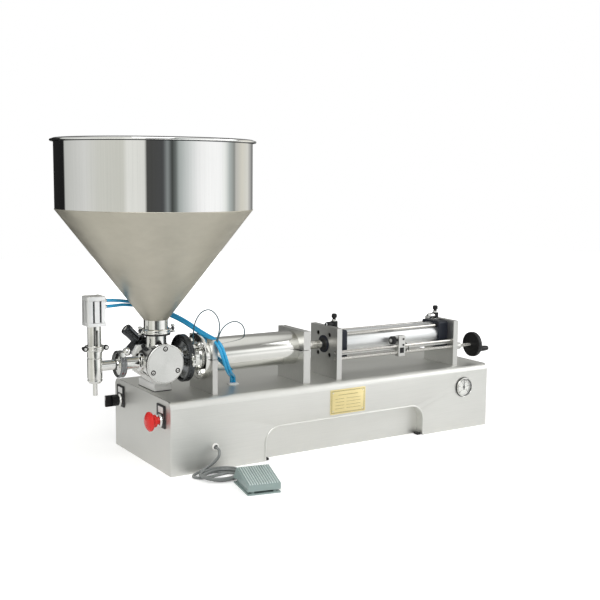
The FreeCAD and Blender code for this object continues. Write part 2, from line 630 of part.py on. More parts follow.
def build_stroke_setting():
    """Lead screw, guide rod, scale and the sensor carriage that they carry."""
    front_x = left + dim.front_plate_from_left
    rear_end = rear_plate_x + dim.rear_plate_wall
    y = spindle_y
    screw_z = axis_z - dim.screw_below_axis
    guide_z = axis_z - dim.guide_below_axis
    wheel_x = right - dim.wheel_from_right
    inner_x = front_x + dim.front_plate_wall
    node(rod("guide", dim.guide_radius, rear_end - front_x, (front_x, y, guide_z), "X"), "guide_rod")
    node(rod("spindle", dim.screw_radius, wheel_x - front_x + dim.wheel_wall - 1, (front_x, y, screw_z), "X"),
         "lead_screw")
    span = rear_plate_x - inner_x
    strip_z = (screw_z + guide_z) / 2
    node(block("strip", (span, 2, 4), (inner_x, y + dim.carriage_depth / 2 + 0.5, strip_z - 2)), "scale_bar")
    x = left + dim.carriage_from_left
    low = axis_z - dim.carriage_below_axis
    tall = dim.carriage_below_axis + dim.carriage_above_axis
    blank = block("carriage_blank", (dim.carriage_length, dim.carriage_depth, tall),
                  (x, y - dim.carriage_depth / 2, low))
    sensor_y = y + dim.carriage_depth / 2
    sensor_depth = axis_y - dim.air_bore - dim.air_wall - dim.sensor_gap - sensor_y
    sensor = block("sensor_blank", (dim.carriage_length, sensor_depth, 10), (x, sensor_y, axis_z - 2))
    carriage = cut("carriage", fuse("carriage_body", blank, sensor),
                   rod("carriage_nut", dim.screw_radius + dim.sliding_play, dim.carriage_length,
                       (x, y, screw_z), "X"),
                   rod("carriage_guide", dim.guide_radius + dim.sliding_play, dim.carriage_length,
                       (x, y, guide_z), "X"))
    knob_z = axis_z + 1
    knob = turned("lock_knob_body", ((0, 0), (0, 3), (7, 3), (7, 10), (18, 10), (18, 0)),
                  (x, y, knob_z), "-X")
    node(group("carriage_set", carriage, knob), "sensor_carriage")
    hub = turned("wheel", (
        (0, dim.screw_radius), (0, 9), (3, dim.wheel_radius), (dim.wheel_wall, dim.wheel_radius),
        (dim.wheel_wall, dim.wheel_radius - 6), (dim.wheel_wall - 4, dim.wheel_radius - 9),
        (dim.wheel_wall - 4, dim.screw_radius)),
        (wheel_x, y, screw_z))
    grip_y = y - dim.grip_offset * 0.85
    grip_z = screw_z - dim.grip_offset * 0.53
    socket = rod("grip_pin_hole", dim.grip_pin_radius, dim.wheel_wall - 5, (wheel_x + 5, grip_y, grip_z), "X")
    grip_x = wheel_x + dim.wheel_wall + 0.5
    pin = rod("grip_pin_shank", dim.grip_pin_radius, dim.grip_length + dim.wheel_wall - 8,
              (wheel_x + 5, grip_y, grip_z), "X")
    pin_head = rod("grip_pin_head", 5, 2.5, (grip_x + dim.grip_length - 2.5, grip_y, grip_z), "X")
    node(group("handwheel_set", cut("handwheel_body", hub, socket), fuse("grip_pin_body", pin, pin_head)),
         "handwheel")
    r = dim.grip_radius
    node(turned("grip_body", (
        (0, dim.grip_pin_radius + 0.1), (0, r - 1), (10, r), (dim.grip_length, r - 1.5),
        (dim.grip_length, 5.3), (dim.grip_length - 3, 5.3), (dim.grip_length - 3, dim.grip_pin_radius + 0.1)),
        (grip_x, grip_y, grip_z)), "handwheel_grip")


# Rotary valve under the hopper

rotor_front = front + dim.cover_from_front + dim.cover_wall
body_rear = rotor_front + dim.valve_depth
seam_z = axis_z + dim.hopper_seam


def ferrule(name, radius, wall, bore, at, along):
    """The flanged end of a clamped pipe joint, its flat face at the given point."""
    return turned(name, ((0, bore), (0, radius), (wall * 0.6, radius), (wall, radius - 4), (wall, bore)),
                  at, along)


def build_valve():
    half_gasket = dim.gasket_wall / 2
    drum = rod("drum", dim.valve_radius, dim.valve_depth, (valve_x, rotor_front, axis_z), "Y")
    rise = dim.hopper_seam - half_gasket
    neck = turned("valve_neck", (
        (0, 0), (0, dim.valve_neck_radius), (rise - dim.ferrule_wall, dim.valve_neck_radius),
        (rise - dim.ferrule_wall * 0.6, dim.hopper_ferrule), (rise, dim.hopper_ferrule), (rise, 0)),
        (valve_x, axis_y, axis_z), "Z")
    reach = large_seam - half_gasket - valve_x
    outlet = turned("valve_outlet", (
        (0, 0), (0, 26), (reach - 9, 26), (reach - dim.ferrule_wall, dim.material_bore + 4),
        (reach - dim.ferrule_wall * 0.6, dim.large_ferrule), (reach, dim.large_ferrule), (reach, 0)),
        (valve_x, axis_y, axis_z), "X")
    small = valve_x - (left + dim.small_seam_from_left) - half_gasket
    inlet = turned("valve_feed", (
        (0, 0), (0, 19), (dim.valve_radius + 3, 19), (dim.valve_radius + 5, 13),
        (small - dim.ferrule_wall, 13),
        (small - dim.ferrule_wall * 0.6, dim.small_ferrule), (small, dim.small_ferrule), (small, 0)),
        (valve_x, axis_y, axis_z), "-X")
    solid = fuse("valve_solid", drum, neck, outlet, inlet)
    bore = dim.passage_radius
    rotor_space = rod("rotor_space", dim.rotor_radius + 0.05, dim.valve_depth - dim.rear_wall,
                      (valve_x, rotor_front, axis_z), "Y")
    stem_hole = rod("stem_hole", dim.spindle_radius + 0.05, dim.valve_depth,
                    (valve_x, rotor_front, axis_z), "Y")
    tools = [rotor_space, stem_hole,
             rod("top_bore", bore, dim.hopper_seam, (valve_x, axis_y, axis_z)),
             rod("feed_bore_tool", bore, small, (valve_x - small, axis_y, axis_z), "X"),
             turned("outlet_bore", ((0, 0), (0, bore), (reach - 16, bore), (reach, dim.throat_bore),
                                    (reach, 0)), (valve_x, axis_y, axis_z), "X")]
    cover = dim.cover_from_front + front
    screws = []
    cover_tools = []
    for index, angle in enumerate((90, 210, 330)):
        across, up = polar(dim.cover_screw_circle, angle)
        x = valve_x + across
        z = axis_z + up
        tools.append(rod(f"cover_tap{index}", dim.cover_screw_radius, 12, (x, rotor_front, z), "Y"))
        cover_tools.append(rod(f"cover_clear{index}", dim.cover_screw_radius, dim.cover_wall,
                               (x, cover, z), "Y"))
        cover_tools.append(rod(f"cover_recess{index}", dim.cover_screw_radius + 2.2, 4.5, (x, cover, z), "Y"))
        screws.append(screw(f"cover_screw{index}", dim.cover_screw_radius, dim.cover_screw_radius + 2, 3.8,
                            dim.cover_wall + 8, (x, cover + 0.7, z), "Y"))
    node(cut("valve_body_holed", solid, *tools), "valve_body")
    disc = turned("cover_disc", ((0, 0), (0, dim.cover_radius), (dim.cover_wall, dim.cover_radius),
                                 (dim.cover_wall, 0)),
                  (valve_x, cover, axis_z), "Y")
    node(cut("cover_holed", disc, *cover_tools), "valve_front_cover")
    fasteners.extend(screws)


def build_rotor():
    """Plug of the three-way valve: a through passage with one branch, on the actuator's spindle."""
    start = rotor_front + 1
    plug = rod("plug", dim.rotor_radius, dim.rotor_length, (valve_x, start, axis_z), "Y")
    shaft = rod("rotor_shaft", dim.spindle_radius, pinion_y - start - dim.rotor_length,
                (valve_x, start + dim.rotor_length, axis_z), "Y")
    bore = dim.passage_radius
    through = rod("rotor_through", bore, dim.rotor_radius * 2, (valve_x, axis_y, axis_z - dim.rotor_radius))
    branch = rod("rotor_branch", bore, dim.rotor_radius, (valve_x, axis_y, axis_z), "X")
    node(cut("rotor_body", fuse("rotor_solid", plug, shaft), through, branch), "valve_rotor")


# Rack and pinion actuator behind the valve, set at 45 degrees

SLOPE = math.sqrt(0.5)
PINION_TEETH = 18
PRESSURE_ANGLE = math.radians(20)
BACKLASH = 0.12
bracket_front = body_rear
bracket_rear = body_rear + dim.bracket_wall
housing_front = bracket_rear
housing_rear = housing_front + dim.housing_depth
pinion_y = housing_front + dim.housing_depth / 2 - dim.pinion_width / 2
pitch_radius = dim.pinion_module * PINION_TEETH / 2
rack_offset = pitch_radius + dim.pinion_module * 1.6
rack_travel = pitch_radius * math.pi / 2


def involute(angle):
    """The involute function of a pressure angle."""
    return math.tan(angle) - angle


def pinion_outline(module, teeth):
    """Corner points of a spur gear's section: involute flanks with flat tips and roots."""
    pitch = module * teeth / 2
    base = pitch * math.cos(PRESSURE_ANGLE)
    tip = pitch + module * 0.9
    root = pitch - module * 1.2
    half_tooth = math.pi / (2 * teeth) - BACKLASH / (2 * pitch)
    flank = []
    for step in range(5):
        radius = base + (tip - base) * step / 4
        pressure = math.acos(base / radius)
        flank.append((radius, half_tooth + involute(PRESSURE_ANGLE) - involute(pressure)))
    flank.insert(0, (root, flank[0][1] + 0.02))
    points = []
    for tooth in range(teeth):
        middle = 2 * math.pi * tooth / teeth
        for radius, half in flank:
            points.append((radius, middle - half))
        for radius, half in reversed(flank):
            points.append((radius, middle + half))
    return [Vector(radius * math.cos(angle), radius * math.sin(angle), 0) for radius, angle in points]


def set_shape(name, shape, at, turn):
    """A part worked out by formula, then put in its place."""
    thing = doc.addObject("Part::Feature", name)
    thing.Shape = shape
    place(thing, at, turn)
    return thing


def build_pinion():
    module = dim.pinion_module.value
    points = pinion_outline(module, PINION_TEETH)
    face = Part.Face(Part.makePolygon(points + [points[0]]))
    shape = face.extrude(Vector(0, 0, dim.pinion_width.value))
    # A tooth gap points along the line from the gear's centre to the rack: up and to the right.
    turn = Rotation(Vector(0, 1, 0), -45 + 180.0 / PINION_TEETH).multiply(Rotation(Vector(1, 0, 0), -90))
    gear = set_shape("gear_teeth", shape, (valve_x, pinion_y, axis_z), turn)
    journal = rod("gear_journal", dim.spindle_radius - 2, housing_rear - pinion_y - dim.pinion_width - 2,
                  (valve_x, pinion_y + dim.pinion_width, axis_z), "Y")
    node(fuse("gear_body", gear, journal), "valve_pinion")


def rack_shape():
    """Piston and toothed rod in one, along +X: the pitch line is the line y = -offset."""
    module = dim.pinion_module.value
    radius = dim.rack_radius.value
    offset = rack_offset.value - pitch_radius.value
    start = -12.0
    end = 58.5
    bar = Part.makeCylinder(radius, end - start, Vector(start, 0, 0), Vector(1, 0, 0))
    tip = -offset - module * 0.8
    depth = module * 0.8 + module * 1.2
    shave = Part.makeBox(end - start - 20, 4 * radius, 4 * radius,
                         Vector(start, tip - 4 * radius, -2 * radius))
    bar = bar.cut(shave)
    pitch = math.pi * module
    slope = math.tan(PRESSURE_ANGLE)
    gap_half = pitch / 4 + BACKLASH / 2
    outer = gap_half + module * 0.8 * slope
    inner = gap_half - module * 1.2 * slope
    for index in range(-2, 8):
        middle = pitch * (index + 0.5)
        gap = Part.Face(Part.makePolygon([
            Vector(middle - outer, tip, -2 * radius), Vector(middle + outer, tip, -2 * radius),
            Vector(middle + inner, tip + depth, -2 * radius),
            Vector(middle - inner, tip + depth, -2 * radius), Vector(middle - outer, tip, -2 * radius)]))
        bar = bar.cut(gap.extrude(Vector(0, 0, 4 * radius)))
    piston = Part.makeCylinder(dim.rack_tube_bore.value - 0.05, 8, Vector(end, 0, 0), Vector(1, 0, 0))
    return bar.fuse(piston).removeSplitter()


def along_rack(distance, sideways, y):
    """A point of the actuator's own slanted frame: distance up the rack, then off to its side."""
    return (valve_x - distance * SLOPE + sideways * SLOPE, y, axis_z + distance * SLOPE + sideways * SLOPE)


# X of the actuator's frame runs up and to the left, its Y is up and to the right.
SLANT = Rotation(Vector(-SLOPE, 0, SLOPE), Vector(SLOPE, 0, SLOPE), Vector(0, 1, 0))


def slanted(thing, distance, sideways, y):
    """Puts a piece into the actuator's slanted frame."""
    place(thing, along_rack(distance, sideways, y), SLANT)
    return thing


def slanted_rod(name, radius, length, distance, sideways, y):
    thing = doc.addObject("Part::Cylinder", name)
    bind(thing, "Radius", radius)
    bind(thing, "Height", length)
    place(thing, along_rack(distance, sideways, y), SLANT.multiply(Rotation(Vector(0, 1, 0), 90)))
    return thing


def build_actuator():
    middle = housing_front + dim.housing_depth / 2
    rack = set_shape("rack_body", rack_shape(), along_rack(0, rack_offset, middle), SLANT)
    node(rack, "actuator_rack")
    low, high = 34, 40
    bottom = -(pitch_radius + 4)
    crown = rack_offset + dim.rack_tube_radius + 1
    housing = doc.addObject("Part::Box", "housing_blank")
    for prop, size in zip(("Length", "Width", "Height"), (low + high, crown - bottom, dim.housing_depth)):
        bind(housing, prop, size)
    slanted(housing, -low, bottom, housing_front)
    gear_space = rod("gear_space", pitch_radius + dim.pinion_module + 0.6, dim.pinion_width + 2,
                     (valve_x, pinion_y - 1, axis_z), "Y")
    stem = rod("housing_stem_hole", dim.spindle_radius + 0.05, dim.housing_depth / 2,
               (valve_x, housing_front, axis_z), "Y")
    journal = rod("housing_journal_hole", dim.spindle_radius - 1.95, dim.housing_depth / 2 - 2,
                  (valve_x, middle, axis_z), "Y")
    rack_space = slanted_rod("rack_space", dim.rack_radius + 0.1, low + high - 4, -low + 4,
                             rack_offset, middle)
    node(cut("housing", housing, gear_space, stem, journal, rack_space), "actuator_housing")
    barrel = slanted_rod("barrel_outer", dim.rack_tube_radius, 28, high, rack_offset, middle)
    barrel_bore = slanted_rod("barrel_bore", dim.rack_tube_bore, 28, high, rack_offset, middle)
    cap = slanted_rod("barrel_cap", dim.rack_tube_radius, 9, high + 28, rack_offset, middle)
    node(group("barrel_set", cut("barrel", barrel, barrel_bore), cap), "actuator_barrel")


def build_bracket():
    """Foot on the base and the upright plate that carries the valve and its actuator."""
    foot_x = left + dim.foot_from_left
    foot_y = front + dim.foot_from_front
    foot = block("foot", (dim.foot_length, dim.foot_depth, dim.foot_height), (foot_x, foot_y, top))
    low = dim.foot_height
    outline = ((foot_x, top + low), (foot_x + dim.foot_length, top + low),
               (foot_x + dim.foot_length, axis_z + 12), (valve_x + 38, axis_z + 30),
               (valve_x - 30, axis_z + 30), (valve_x - 38, axis_z + 16), (valve_x - 38, axis_z - 24))
    plate = padded("upright_plate", outline, dim.bracket_wall, (0, bracket_rear, 0), "Y")
    hole = rod("upright_hole", dim.spindle_radius + 0.5, dim.bracket_wall,
               (valve_x, bracket_front, axis_z), "Y")
    node(fuse("bracket", cut("upright", plate, hole), foot), "valve_bracket")


# Hopper and clamped joints

def build_hopper():
    """Spun shell: outlet ferrule, pipe, cone, straight side and a rolled rim."""
    wall = dim.hopper_wall
    half_gasket = dim.gasket_wall / 2
    neck = dim.neck_length + dim.ferrule_wall
    cone_top = neck + dim.hopper_cone
    brim = cone_top + dim.hopper_side
    pipe = dim.hopper_outlet
    bead = dim.rim_radius
    edge = dim.hopper_radius
    node(turned("hopper_sheet", (
        (0, pipe - wall), (0, dim.hopper_ferrule), (dim.ferrule_wall * 0.6, dim.hopper_ferrule),
        (dim.ferrule_wall, pipe), (neck, pipe), (cone_top, edge), (brim - bead * 1.9, edge),
        (brim - bead * 1.4, edge + bead * 1.5), (brim - bead * 0.5, edge + bead * 1.5),
        (brim, edge + bead * 0.8), (brim, edge - wall), (cone_top + 0.6, edge - wall),
        (neck + 0.6, pipe - wall)),
        (valve_x, axis_y, seam_z + half_gasket), "Z"), "hopper")


def gasket(name, radius, bore, at, along):
    """The rubber ring of a clamped joint, centred on its seam."""
    half = dim.gasket_wall / 2
    seals.append(turned(name, ((-half, bore), (-half, radius), (half, radius), (half, bore)), at, along))


def clamp(name, radius, reach, at, along):
    """A pipe clamp: a band closed round the rims of two ferrules."""
    half = dim.ferrule_wall + dim.gasket_wall / 2 + 3
    return turned(name, ((-half, reach), (-half, radius), (half, radius), (half, reach)), at, along)


def clamp_bolt(name, centre, radius, angle, plane):
    """Swing bolt, knuckles and round nut on the rim of a clamp, at an angle in the clamp's plane."""
    across, up = polar(radius + 3.5, angle)
    if plane == "XY":
        at = (centre[0] + across, centre[1] + up, centre[2])
        lug = block(name + "_lug", (9, 9, 8), (at[0] - 4.5, at[1] - 4.5, at[2] - 4))
        bolt = rod(name + "_bolt", 2.5, 26, (at[0], at[1] - 13, at[2]), "Y")
        wheel = nut(name + "_nut", 10, 7, (at[0], at[1] - 12, at[2]), "Y")
    else:
        at = (centre[0], centre[1] + across, centre[2] + up)
        lug = block(name + "_lug", (8, 9, 9), (at[0] - 4, at[1] - 4.5, at[2] - 4.5))
        bolt = rod(name + "_bolt", 2.5, 22, (at[0], at[1], at[2] - 9), "Z")
        wheel = nut(name + "_nut", 10, 7, (at[0], at[1], at[2] + 5), "Z")
    return fuse(name + "_fitting", lug, bolt, wheel)


def build_joints():
    hopper_at = (valve_x, axis_y, seam_z)
    large_at = (large_seam, axis_y, axis_z)
    small_at = (left + dim.small_seam_from_left, axis_y, axis_z)
    hopper_ring = clamp("hopper_clamp_ring", dim.hopper_ferrule + 4, dim.hopper_ferrule, hopper_at, "Z")
    hopper_clamp = fuse("hopper_clamp_set", hopper_ring,
                        clamp_bolt("hopper_left", hopper_at, dim.hopper_ferrule + 3, 180, "XY"),
                        clamp_bolt("hopper_right", hopper_at, dim.hopper_ferrule + 3, 0, "XY"))
    large_ring = clamp("large_clamp_ring", dim.large_clamp, dim.large_ferrule, large_at, "X")
    large_clamp = fuse("large_clamp_set", large_ring,
                       clamp_bolt("large_front", large_at, dim.large_clamp - 1, 180, "YZ"))
    small_ring = clamp("small_clamp_ring", dim.small_clamp + 1, dim.small_ferrule, small_at, "X")
    small_clamp = fuse("small_clamp_set", small_ring,
                       clamp_bolt("small_top", small_at, dim.small_clamp + 5.5, 120, "YZ"))
    nozzle_at = (nozzle_x, axis_y, axis_z + dim.nozzle_top)
    collar_bore = dim.nozzle_radius + 0.1
    nozzle_ring = turned("nozzle_clamp_ring", (
        (-5.5, collar_bore), (-5.5, 20), (5.5, 20), (5.5, collar_bore), (3.1, 18.2), (-3.1, 18.2)),
        nozzle_at, "Z")
    nozzle_clamp = fuse("nozzle_clamp_set", nozzle_ring,
                        clamp_bolt("nozzle_left", nozzle_at, as_size(19), 180, "XY"),
                        clamp_bolt("nozzle_right", nozzle_at, as_size(19), 0, "XY"))
    node(group("clamp_set", hopper_clamp, large_clamp, small_clamp, nozzle_clamp), "pipe_clamps")
    gasket("hopper_seal", dim.hopper_ferrule - 2, dim.passage_radius + 2, hopper_at, "Z")
    gasket("large_seal", dim.large_ferrule - 2, dim.throat_bore, large_at, "X")
    gasket("small_seal", dim.small_ferrule - 2, dim.passage_radius, small_at, "X")


# Shut-off nozzle with its small air cylinder

def build_nozzle():
    half_gasket = dim.gasket_wall / 2
    seam_x = left + dim.small_seam_from_left
    top_z = axis_z + dim.nozzle_top
    bottom = axis_z - dim.nozzle_bottom
    body = turned("nozzle_barrel", (
        (-dim.tip_length, dim.tip_bore), (-dim.tip_length, dim.tip_radius), (0, dim.tip_radius),
        (9, dim.nozzle_radius), (dim.nozzle_bottom + dim.nozzle_top - 4, dim.nozzle_radius),
        (dim.nozzle_bottom + dim.nozzle_top - 3, dim.nozzle_radius + 3),
        (dim.nozzle_bottom + dim.nozzle_top, dim.nozzle_radius + 3),
        (dim.nozzle_bottom + dim.nozzle_top, dim.nozzle_bore), (6, dim.nozzle_bore), (0, dim.tip_bore)),
        (nozzle_x, axis_y, bottom), "Z")
    arm = turned("feed_arm", (
        (0, 0), (0, dim.small_ferrule), (dim.ferrule_wall * 0.6, dim.small_ferrule),
        (dim.ferrule_wall, dim.small_ferrule - 3), (dim.ferrule_wall + 2, dim.feed_radius),
        (seam_x - half_gasket - nozzle_x, dim.feed_radius), (seam_x - half_gasket - nozzle_x, 0)),
        (seam_x - half_gasket, axis_y, axis_z), "-X")
    chamber = rod("nozzle_chamber", dim.nozzle_bore, dim.nozzle_bottom + dim.nozzle_top - 6,
                  (nozzle_x, axis_y, bottom + 6))
    feed = rod("feed_hole", dim.feed_bore, seam_x - half_gasket - nozzle_x, (nozzle_x, axis_y, axis_z), "X")
    node(cut("nozzle_body_solid", fuse("nozzle_blank", body, arm), chamber, feed), "nozzle_body")
    window = block("yoke_window_tool", (7, dim.yoke_radius * 2, dim.yoke_height - 16),
                   (nozzle_x - 3.5, axis_y - dim.yoke_radius, top_z + 8))
    yoke = turned("yoke_blank", (
        (0, dim.needle_radius + 0.1), (0, dim.nozzle_radius + 3), (3, dim.nozzle_radius + 3),
        (4, dim.yoke_radius), (dim.yoke_height, dim.yoke_radius),
        (dim.yoke_height, dim.needle_radius + 0.1)), (nozzle_x, axis_y, top_z), "Z")
    node(cut("yoke", yoke, window), "nozzle_yoke")
    base = top_z + dim.yoke_height
    side = dim.small_cylinder_side
    case = padded("small_case", rectangle(side, side), dim.small_cylinder_height,
                  (nozzle_x - side / 2, axis_y - side / 2, base), "Z", ((as_size(3), runs_deep),))
    tools = [rod("small_bore", dim.small_cylinder_bore, dim.small_cylinder_height - 12,
                 (nozzle_x, axis_y, base + 6)),
             rod("small_rod_bore", dim.needle_radius + 0.05, 8, (nozzle_x, axis_y, base))]
    for index, offset in enumerate((-7, 7)):
        tools.append(block(f"front_slot{index}", (3, 2, dim.small_cylinder_height),
                           (nozzle_x + offset - 1.5, axis_y - side / 2, base)))
        tools.append(block(f"left_slot{index}", (2, 3, dim.small_cylinder_height),
                           (nozzle_x - side / 2, axis_y + offset - 1.5, base)))
    cylinder = cut("small_cylinder", case, *tools)
    fittings = []
    for index, level in enumerate((0.62, 0.82)):
        z = base + dim.small_cylinder_height * level
        fittings.append(cut(f"small_fitting{index}", rod(f"small_fitting_body{index}", 5, 8,
                                                         (nozzle_x + side / 2, axis_y, z), "X"),
                            rod(f"small_fitting_hole{index}", dim.air_tube_radius, 5,
                                (nozzle_x + side / 2 + 3, axis_y, z), "X")))
    node(group("small_cylinder_set", cylinder, *fittings), "nozzle_air_cylinder")
    seat = bottom + 1.5
    needle = turned("needle_rod", (
        (0, 0), (0, dim.tip_bore - 0.6), (4, dim.tip_bore - 0.2), (7, dim.needle_radius),
        (base + 8 - seat, dim.needle_radius), (base + 8 - seat, dim.small_cylinder_bore - 0.05),
        (base + 18 - seat, dim.small_cylinder_bore - 0.05), (base + 18 - seat, 0)),
        (nozzle_x, axis_y, seat), "Z")
    node(needle, "nozzle_needle")


# Panel parts

def build_controls():
    face = left
    legend_low = dim.button_height - 15
    legends = []
    bodies = []
    for name, y in switch_places:
        z = dim.button_height
        blank = block(name + "_legend_blank", (2.5, dim.legend_width, dim.legend_height),
                      (face - 2.5, y - dim.legend_width / 2, legend_low))
        window = block(name + "_legend_window", (1, dim.legend_width - 16, 13),
                       (face - 2.5, y - dim.legend_width / 2 + 8, legend_low + dim.legend_height - 17))
        legends.append(cut(name + "_legend_plate", blank, window,
                           rod(name + "_legend_hole", dim.panel_hole_radius, 3, (face - 3, y, z), "X")))
        body = turned(name + "_collar_body", (
            (-dim.switch_depth, 0), (-dim.switch_depth, dim.switch_radius), (2.5, dim.switch_radius),
            (2.5, dim.switch_collar), (8.5, dim.switch_collar - 2), (8.5, dim.switch_stem + 0.1),
            (14 - dim.switch_depth, dim.switch_stem + 0.1), (14 - dim.switch_depth, 0)), (face, y, z), "-X")
        bodies.append(body)
    node(group("legend_set", *legends), "legend_plates")
    node(group("switch_body_set", *bodies), "switch_bodies")
    z = dim.button_height
    r = dim.mushroom_radius
    stem = dim.switch_stem
    node(turned("mushroom", (
        (-12, 0), (-12, stem), (15, stem), (23, r), (28, r), (34, r - 7), (36, 0)),
        (face, switch_places[0][1], z), "-X"), "stop_button")
    y = switch_places[1][1]
    disc = turned("selector_disc", ((-12, 0), (-12, stem), (9, stem), (9, 13), (24, 13), (24, 0)),
                  (face, y, z), "-X")
    lever = block("selector_lever", (16, 7, 25), (face - 38, y - 3.5, z - 12.5))
    node(fuse("selector_knob_body", disc, lever), "selector_knob")


def build_gauge():
    """Panel gauge with its regulator behind the skirt."""
    x = gauge_x
    z = dim.gauge_height
    r = dim.gauge_radius
    deep = dim.gauge_depth
    can = turned("gauge_can", (
        (-deep, 0), (-deep, r - 3), (0.3, r - 3), (0.3, r), (7, r - 1), (7, r - 3.5), (1.5, r - 3.5),
        (1.5, 0)), (x, front, z), "-Y")
    node(turned("gauge_window", ((5, 0), (5, r - 3.6), (6.5, r - 3.6), (6.5, 0)), (x, front, z), "-Y"),
         "gauge_glass")
    pointer = padded("pointer_blade", ((-1.5, -6), (1.5, -6), (0.4, r - 7), (-0.4, r - 7)), 0.6,
                     (x, front - 2.6, z), "Y")
    hub = rod("pointer_hub", 2.5, 1.6, (x, front - 3.4, z), "Y")
    node(fuse("pointer_body", pointer, hub), "gauge_needle")
    stem = rod("regulator_stem", 7, 10, (x, front + deep, z), "Y")
    side = dim.regulator_side
    low = z - dim.regulator_height + 26
    case = block("regulator_case", (side, side, dim.regulator_height), (x - side / 2, front + deep + 10, low))
    bowl = rod("regulator_bowl", dim.regulator_bowl, side * 0.75,
               (x, front + deep + 10 + side / 2, low - side * 0.75))
    node(fuse("gauge_and_regulator", can, stem, case, bowl), "pressure_regulator")


def build_nameplate():
    x = left + dim.plate_from_left - dim.plate_width / 2
    z = dim.plate_height - dim.plate_tall / 2
    node(block("plate", (dim.plate_width, dim.plate_wall, dim.plate_tall), (x, front - dim.plate_wall, z)),
         "nameplate")


def build_services():
    """Air inlet, tube gland and the pneumatic valves on the bottom plate."""
    r = dim.inlet_bore
    node(turned("inlet", (
        (-14, r), (-14, r + 4), (2.0, r + 4), (2.0, r + 7), (8, r + 7), (8, r + 4.5), (22, r + 4.5), (22, r)),
        (inlet_x, rear - dim.sheet_wall, dim.inlet_height), "Y"), "air_inlet")
    gland_x = left + dim.gland_from_left
    gland_y = front + dim.gland_from_front
    neck = dim.tube_spread + dim.air_tube_radius + 1
    ring_part = turned("gland_ring", (
        (-6, 0), (-6, neck), (0, neck), (0, neck + 5), (4, neck + 2), (4, 0)), (gland_x, gland_y, top), "Z")
    holes = [rod(f"gland_bore{index}", dim.air_tube_radius + 0.1, 12,
                 (gland_x + side * dim.tube_spread, gland_y, top - 7)) for index, side in
             enumerate((-1, 1))]
    node(cut("gland", ring_part, *holes), "air_tube_gland")
    base = dim.bottom_plate_wall
    long, wide = dim.bank_length, dim.bank_width
    bank = block("bank_base", (long, wide, dim.bank_base), (long / -2, wide / -2, base))
    bodies = []
    coils = []
    valve_z = base + dim.bank_base
    coil_z = valve_z + dim.bank_valve_height
    for index in range(3):
        x = long * (0.3 * index - 0.3) - dim.bank_valve / 2
        bodies.append(block(f"bank_valve{index}", (dim.bank_valve, wide - 4, dim.bank_valve_height),
                            (x, 2 - wide / 2, valve_z)))
        coils.append(block(f"bank_coil{index}", (dim.bank_valve - 2, dim.bank_coil, dim.bank_coil),
                           (x + 1, 5 - wide / 2, coil_z)))
    node(fuse("bank", bank, *bodies, *coils), "solenoid_valve_bank")


# Cables, hoses and the foot pedal

def hose_shape(points, radius):
    """An eight-sided tube along straight runs joined by tangent arcs, each as large as its runs allow."""
    edges = []
    start = points[0]
    for index in range(1, len(points) - 1):
        before = points[index] - points[index - 1]
        after = points[index + 1] - points[index]
        turn = before.getAngle(after)
        reach = 0.45 * min(before.Length, after.Length)
        bend_in = points[index] - before.normalize() * reach
        bend_out = points[index] + after.normalize() * reach
        middle_radius = reach / math.tan(turn / 2)
        centre_line = (bend_in + bend_out) * 0.5 - points[index]
        centre_line.normalize()
        distance = middle_radius / math.cos(turn / 2) - middle_radius
        edges.append(Part.LineSegment(start, bend_in).toShape())
        edges.append(Part.Arc(bend_in, points[index] + centre_line * distance, bend_out).toShape())
        start = bend_out
    edges.append(Part.LineSegment(start, points[-1]).toShape())
    path = Part.Wire(edges)
    facing = Rotation(Vector(0, 0, 1), points[1] - points[0])
    corners = []
    for side in range(9):
        angle = math.radians(22.5 + 45 * side)
        corners.append(points[0] + facing.multVec(Vector(math.cos(angle), math.sin(angle), 0) * radius))
    return path.makePipeShell([Part.makePolygon(corners)], True, False)


def hose(name, label, corner, offsets, radius):
    """One node: a tube along points given from a named corner."""
    points = [Vector(*offset) for offset in offsets]
    return node(set_shape(name, hose_shape(points, radius.value), corner, Rotation()), label)


# Routes are points chosen along the way that each cord lies, in millimetres from the named corner.
# The lead starts at the grommet, the tail at the pedal's corner, the air tubes at the base's corner.
CORD_LEAD = (
    (0, 2, 50), (0, -18, 50), (-2, -25, 37), (-11, -19, 24.5), (-30, -9, 13), (-49, -12, 5),
    (-58.6, -30, 4.5), (-59.3, -51, 4.5))
COIL_CENTRE = (-10, -52)
COIL_REACH = (46.0, 38.0)
COIL_WIDTH = 19.0
COIL_HEIGHT = 16.0
CORD_TAIL = ((52.9, 94.0, 7), (55.2, 105, 6), (62, 116, 4), (64.0, 128, 3.2))
AIR_TUBE_PORTS = (351.3, 363.3)
AIR_TUBE_ROUTE = (
    (-107.7, 78.2, 0, 0, 0), (-92, 78.2, 0, 0, 0), (-48, 118, 351, 0, 1), (20, 152, 337, 0, 1),
    (84, 130, 311, 0.5, 0.9), (112, 70, 287, 1, 0), (120, 13, 279, 1, 0), (133, 9, 240, 1, 0),
    (160, 40, 198, 1, 0), (188, 84, 180, 1, 0), (198.5, 101, 173, 1, 0), (198.5, 101, 151, 1, 0))


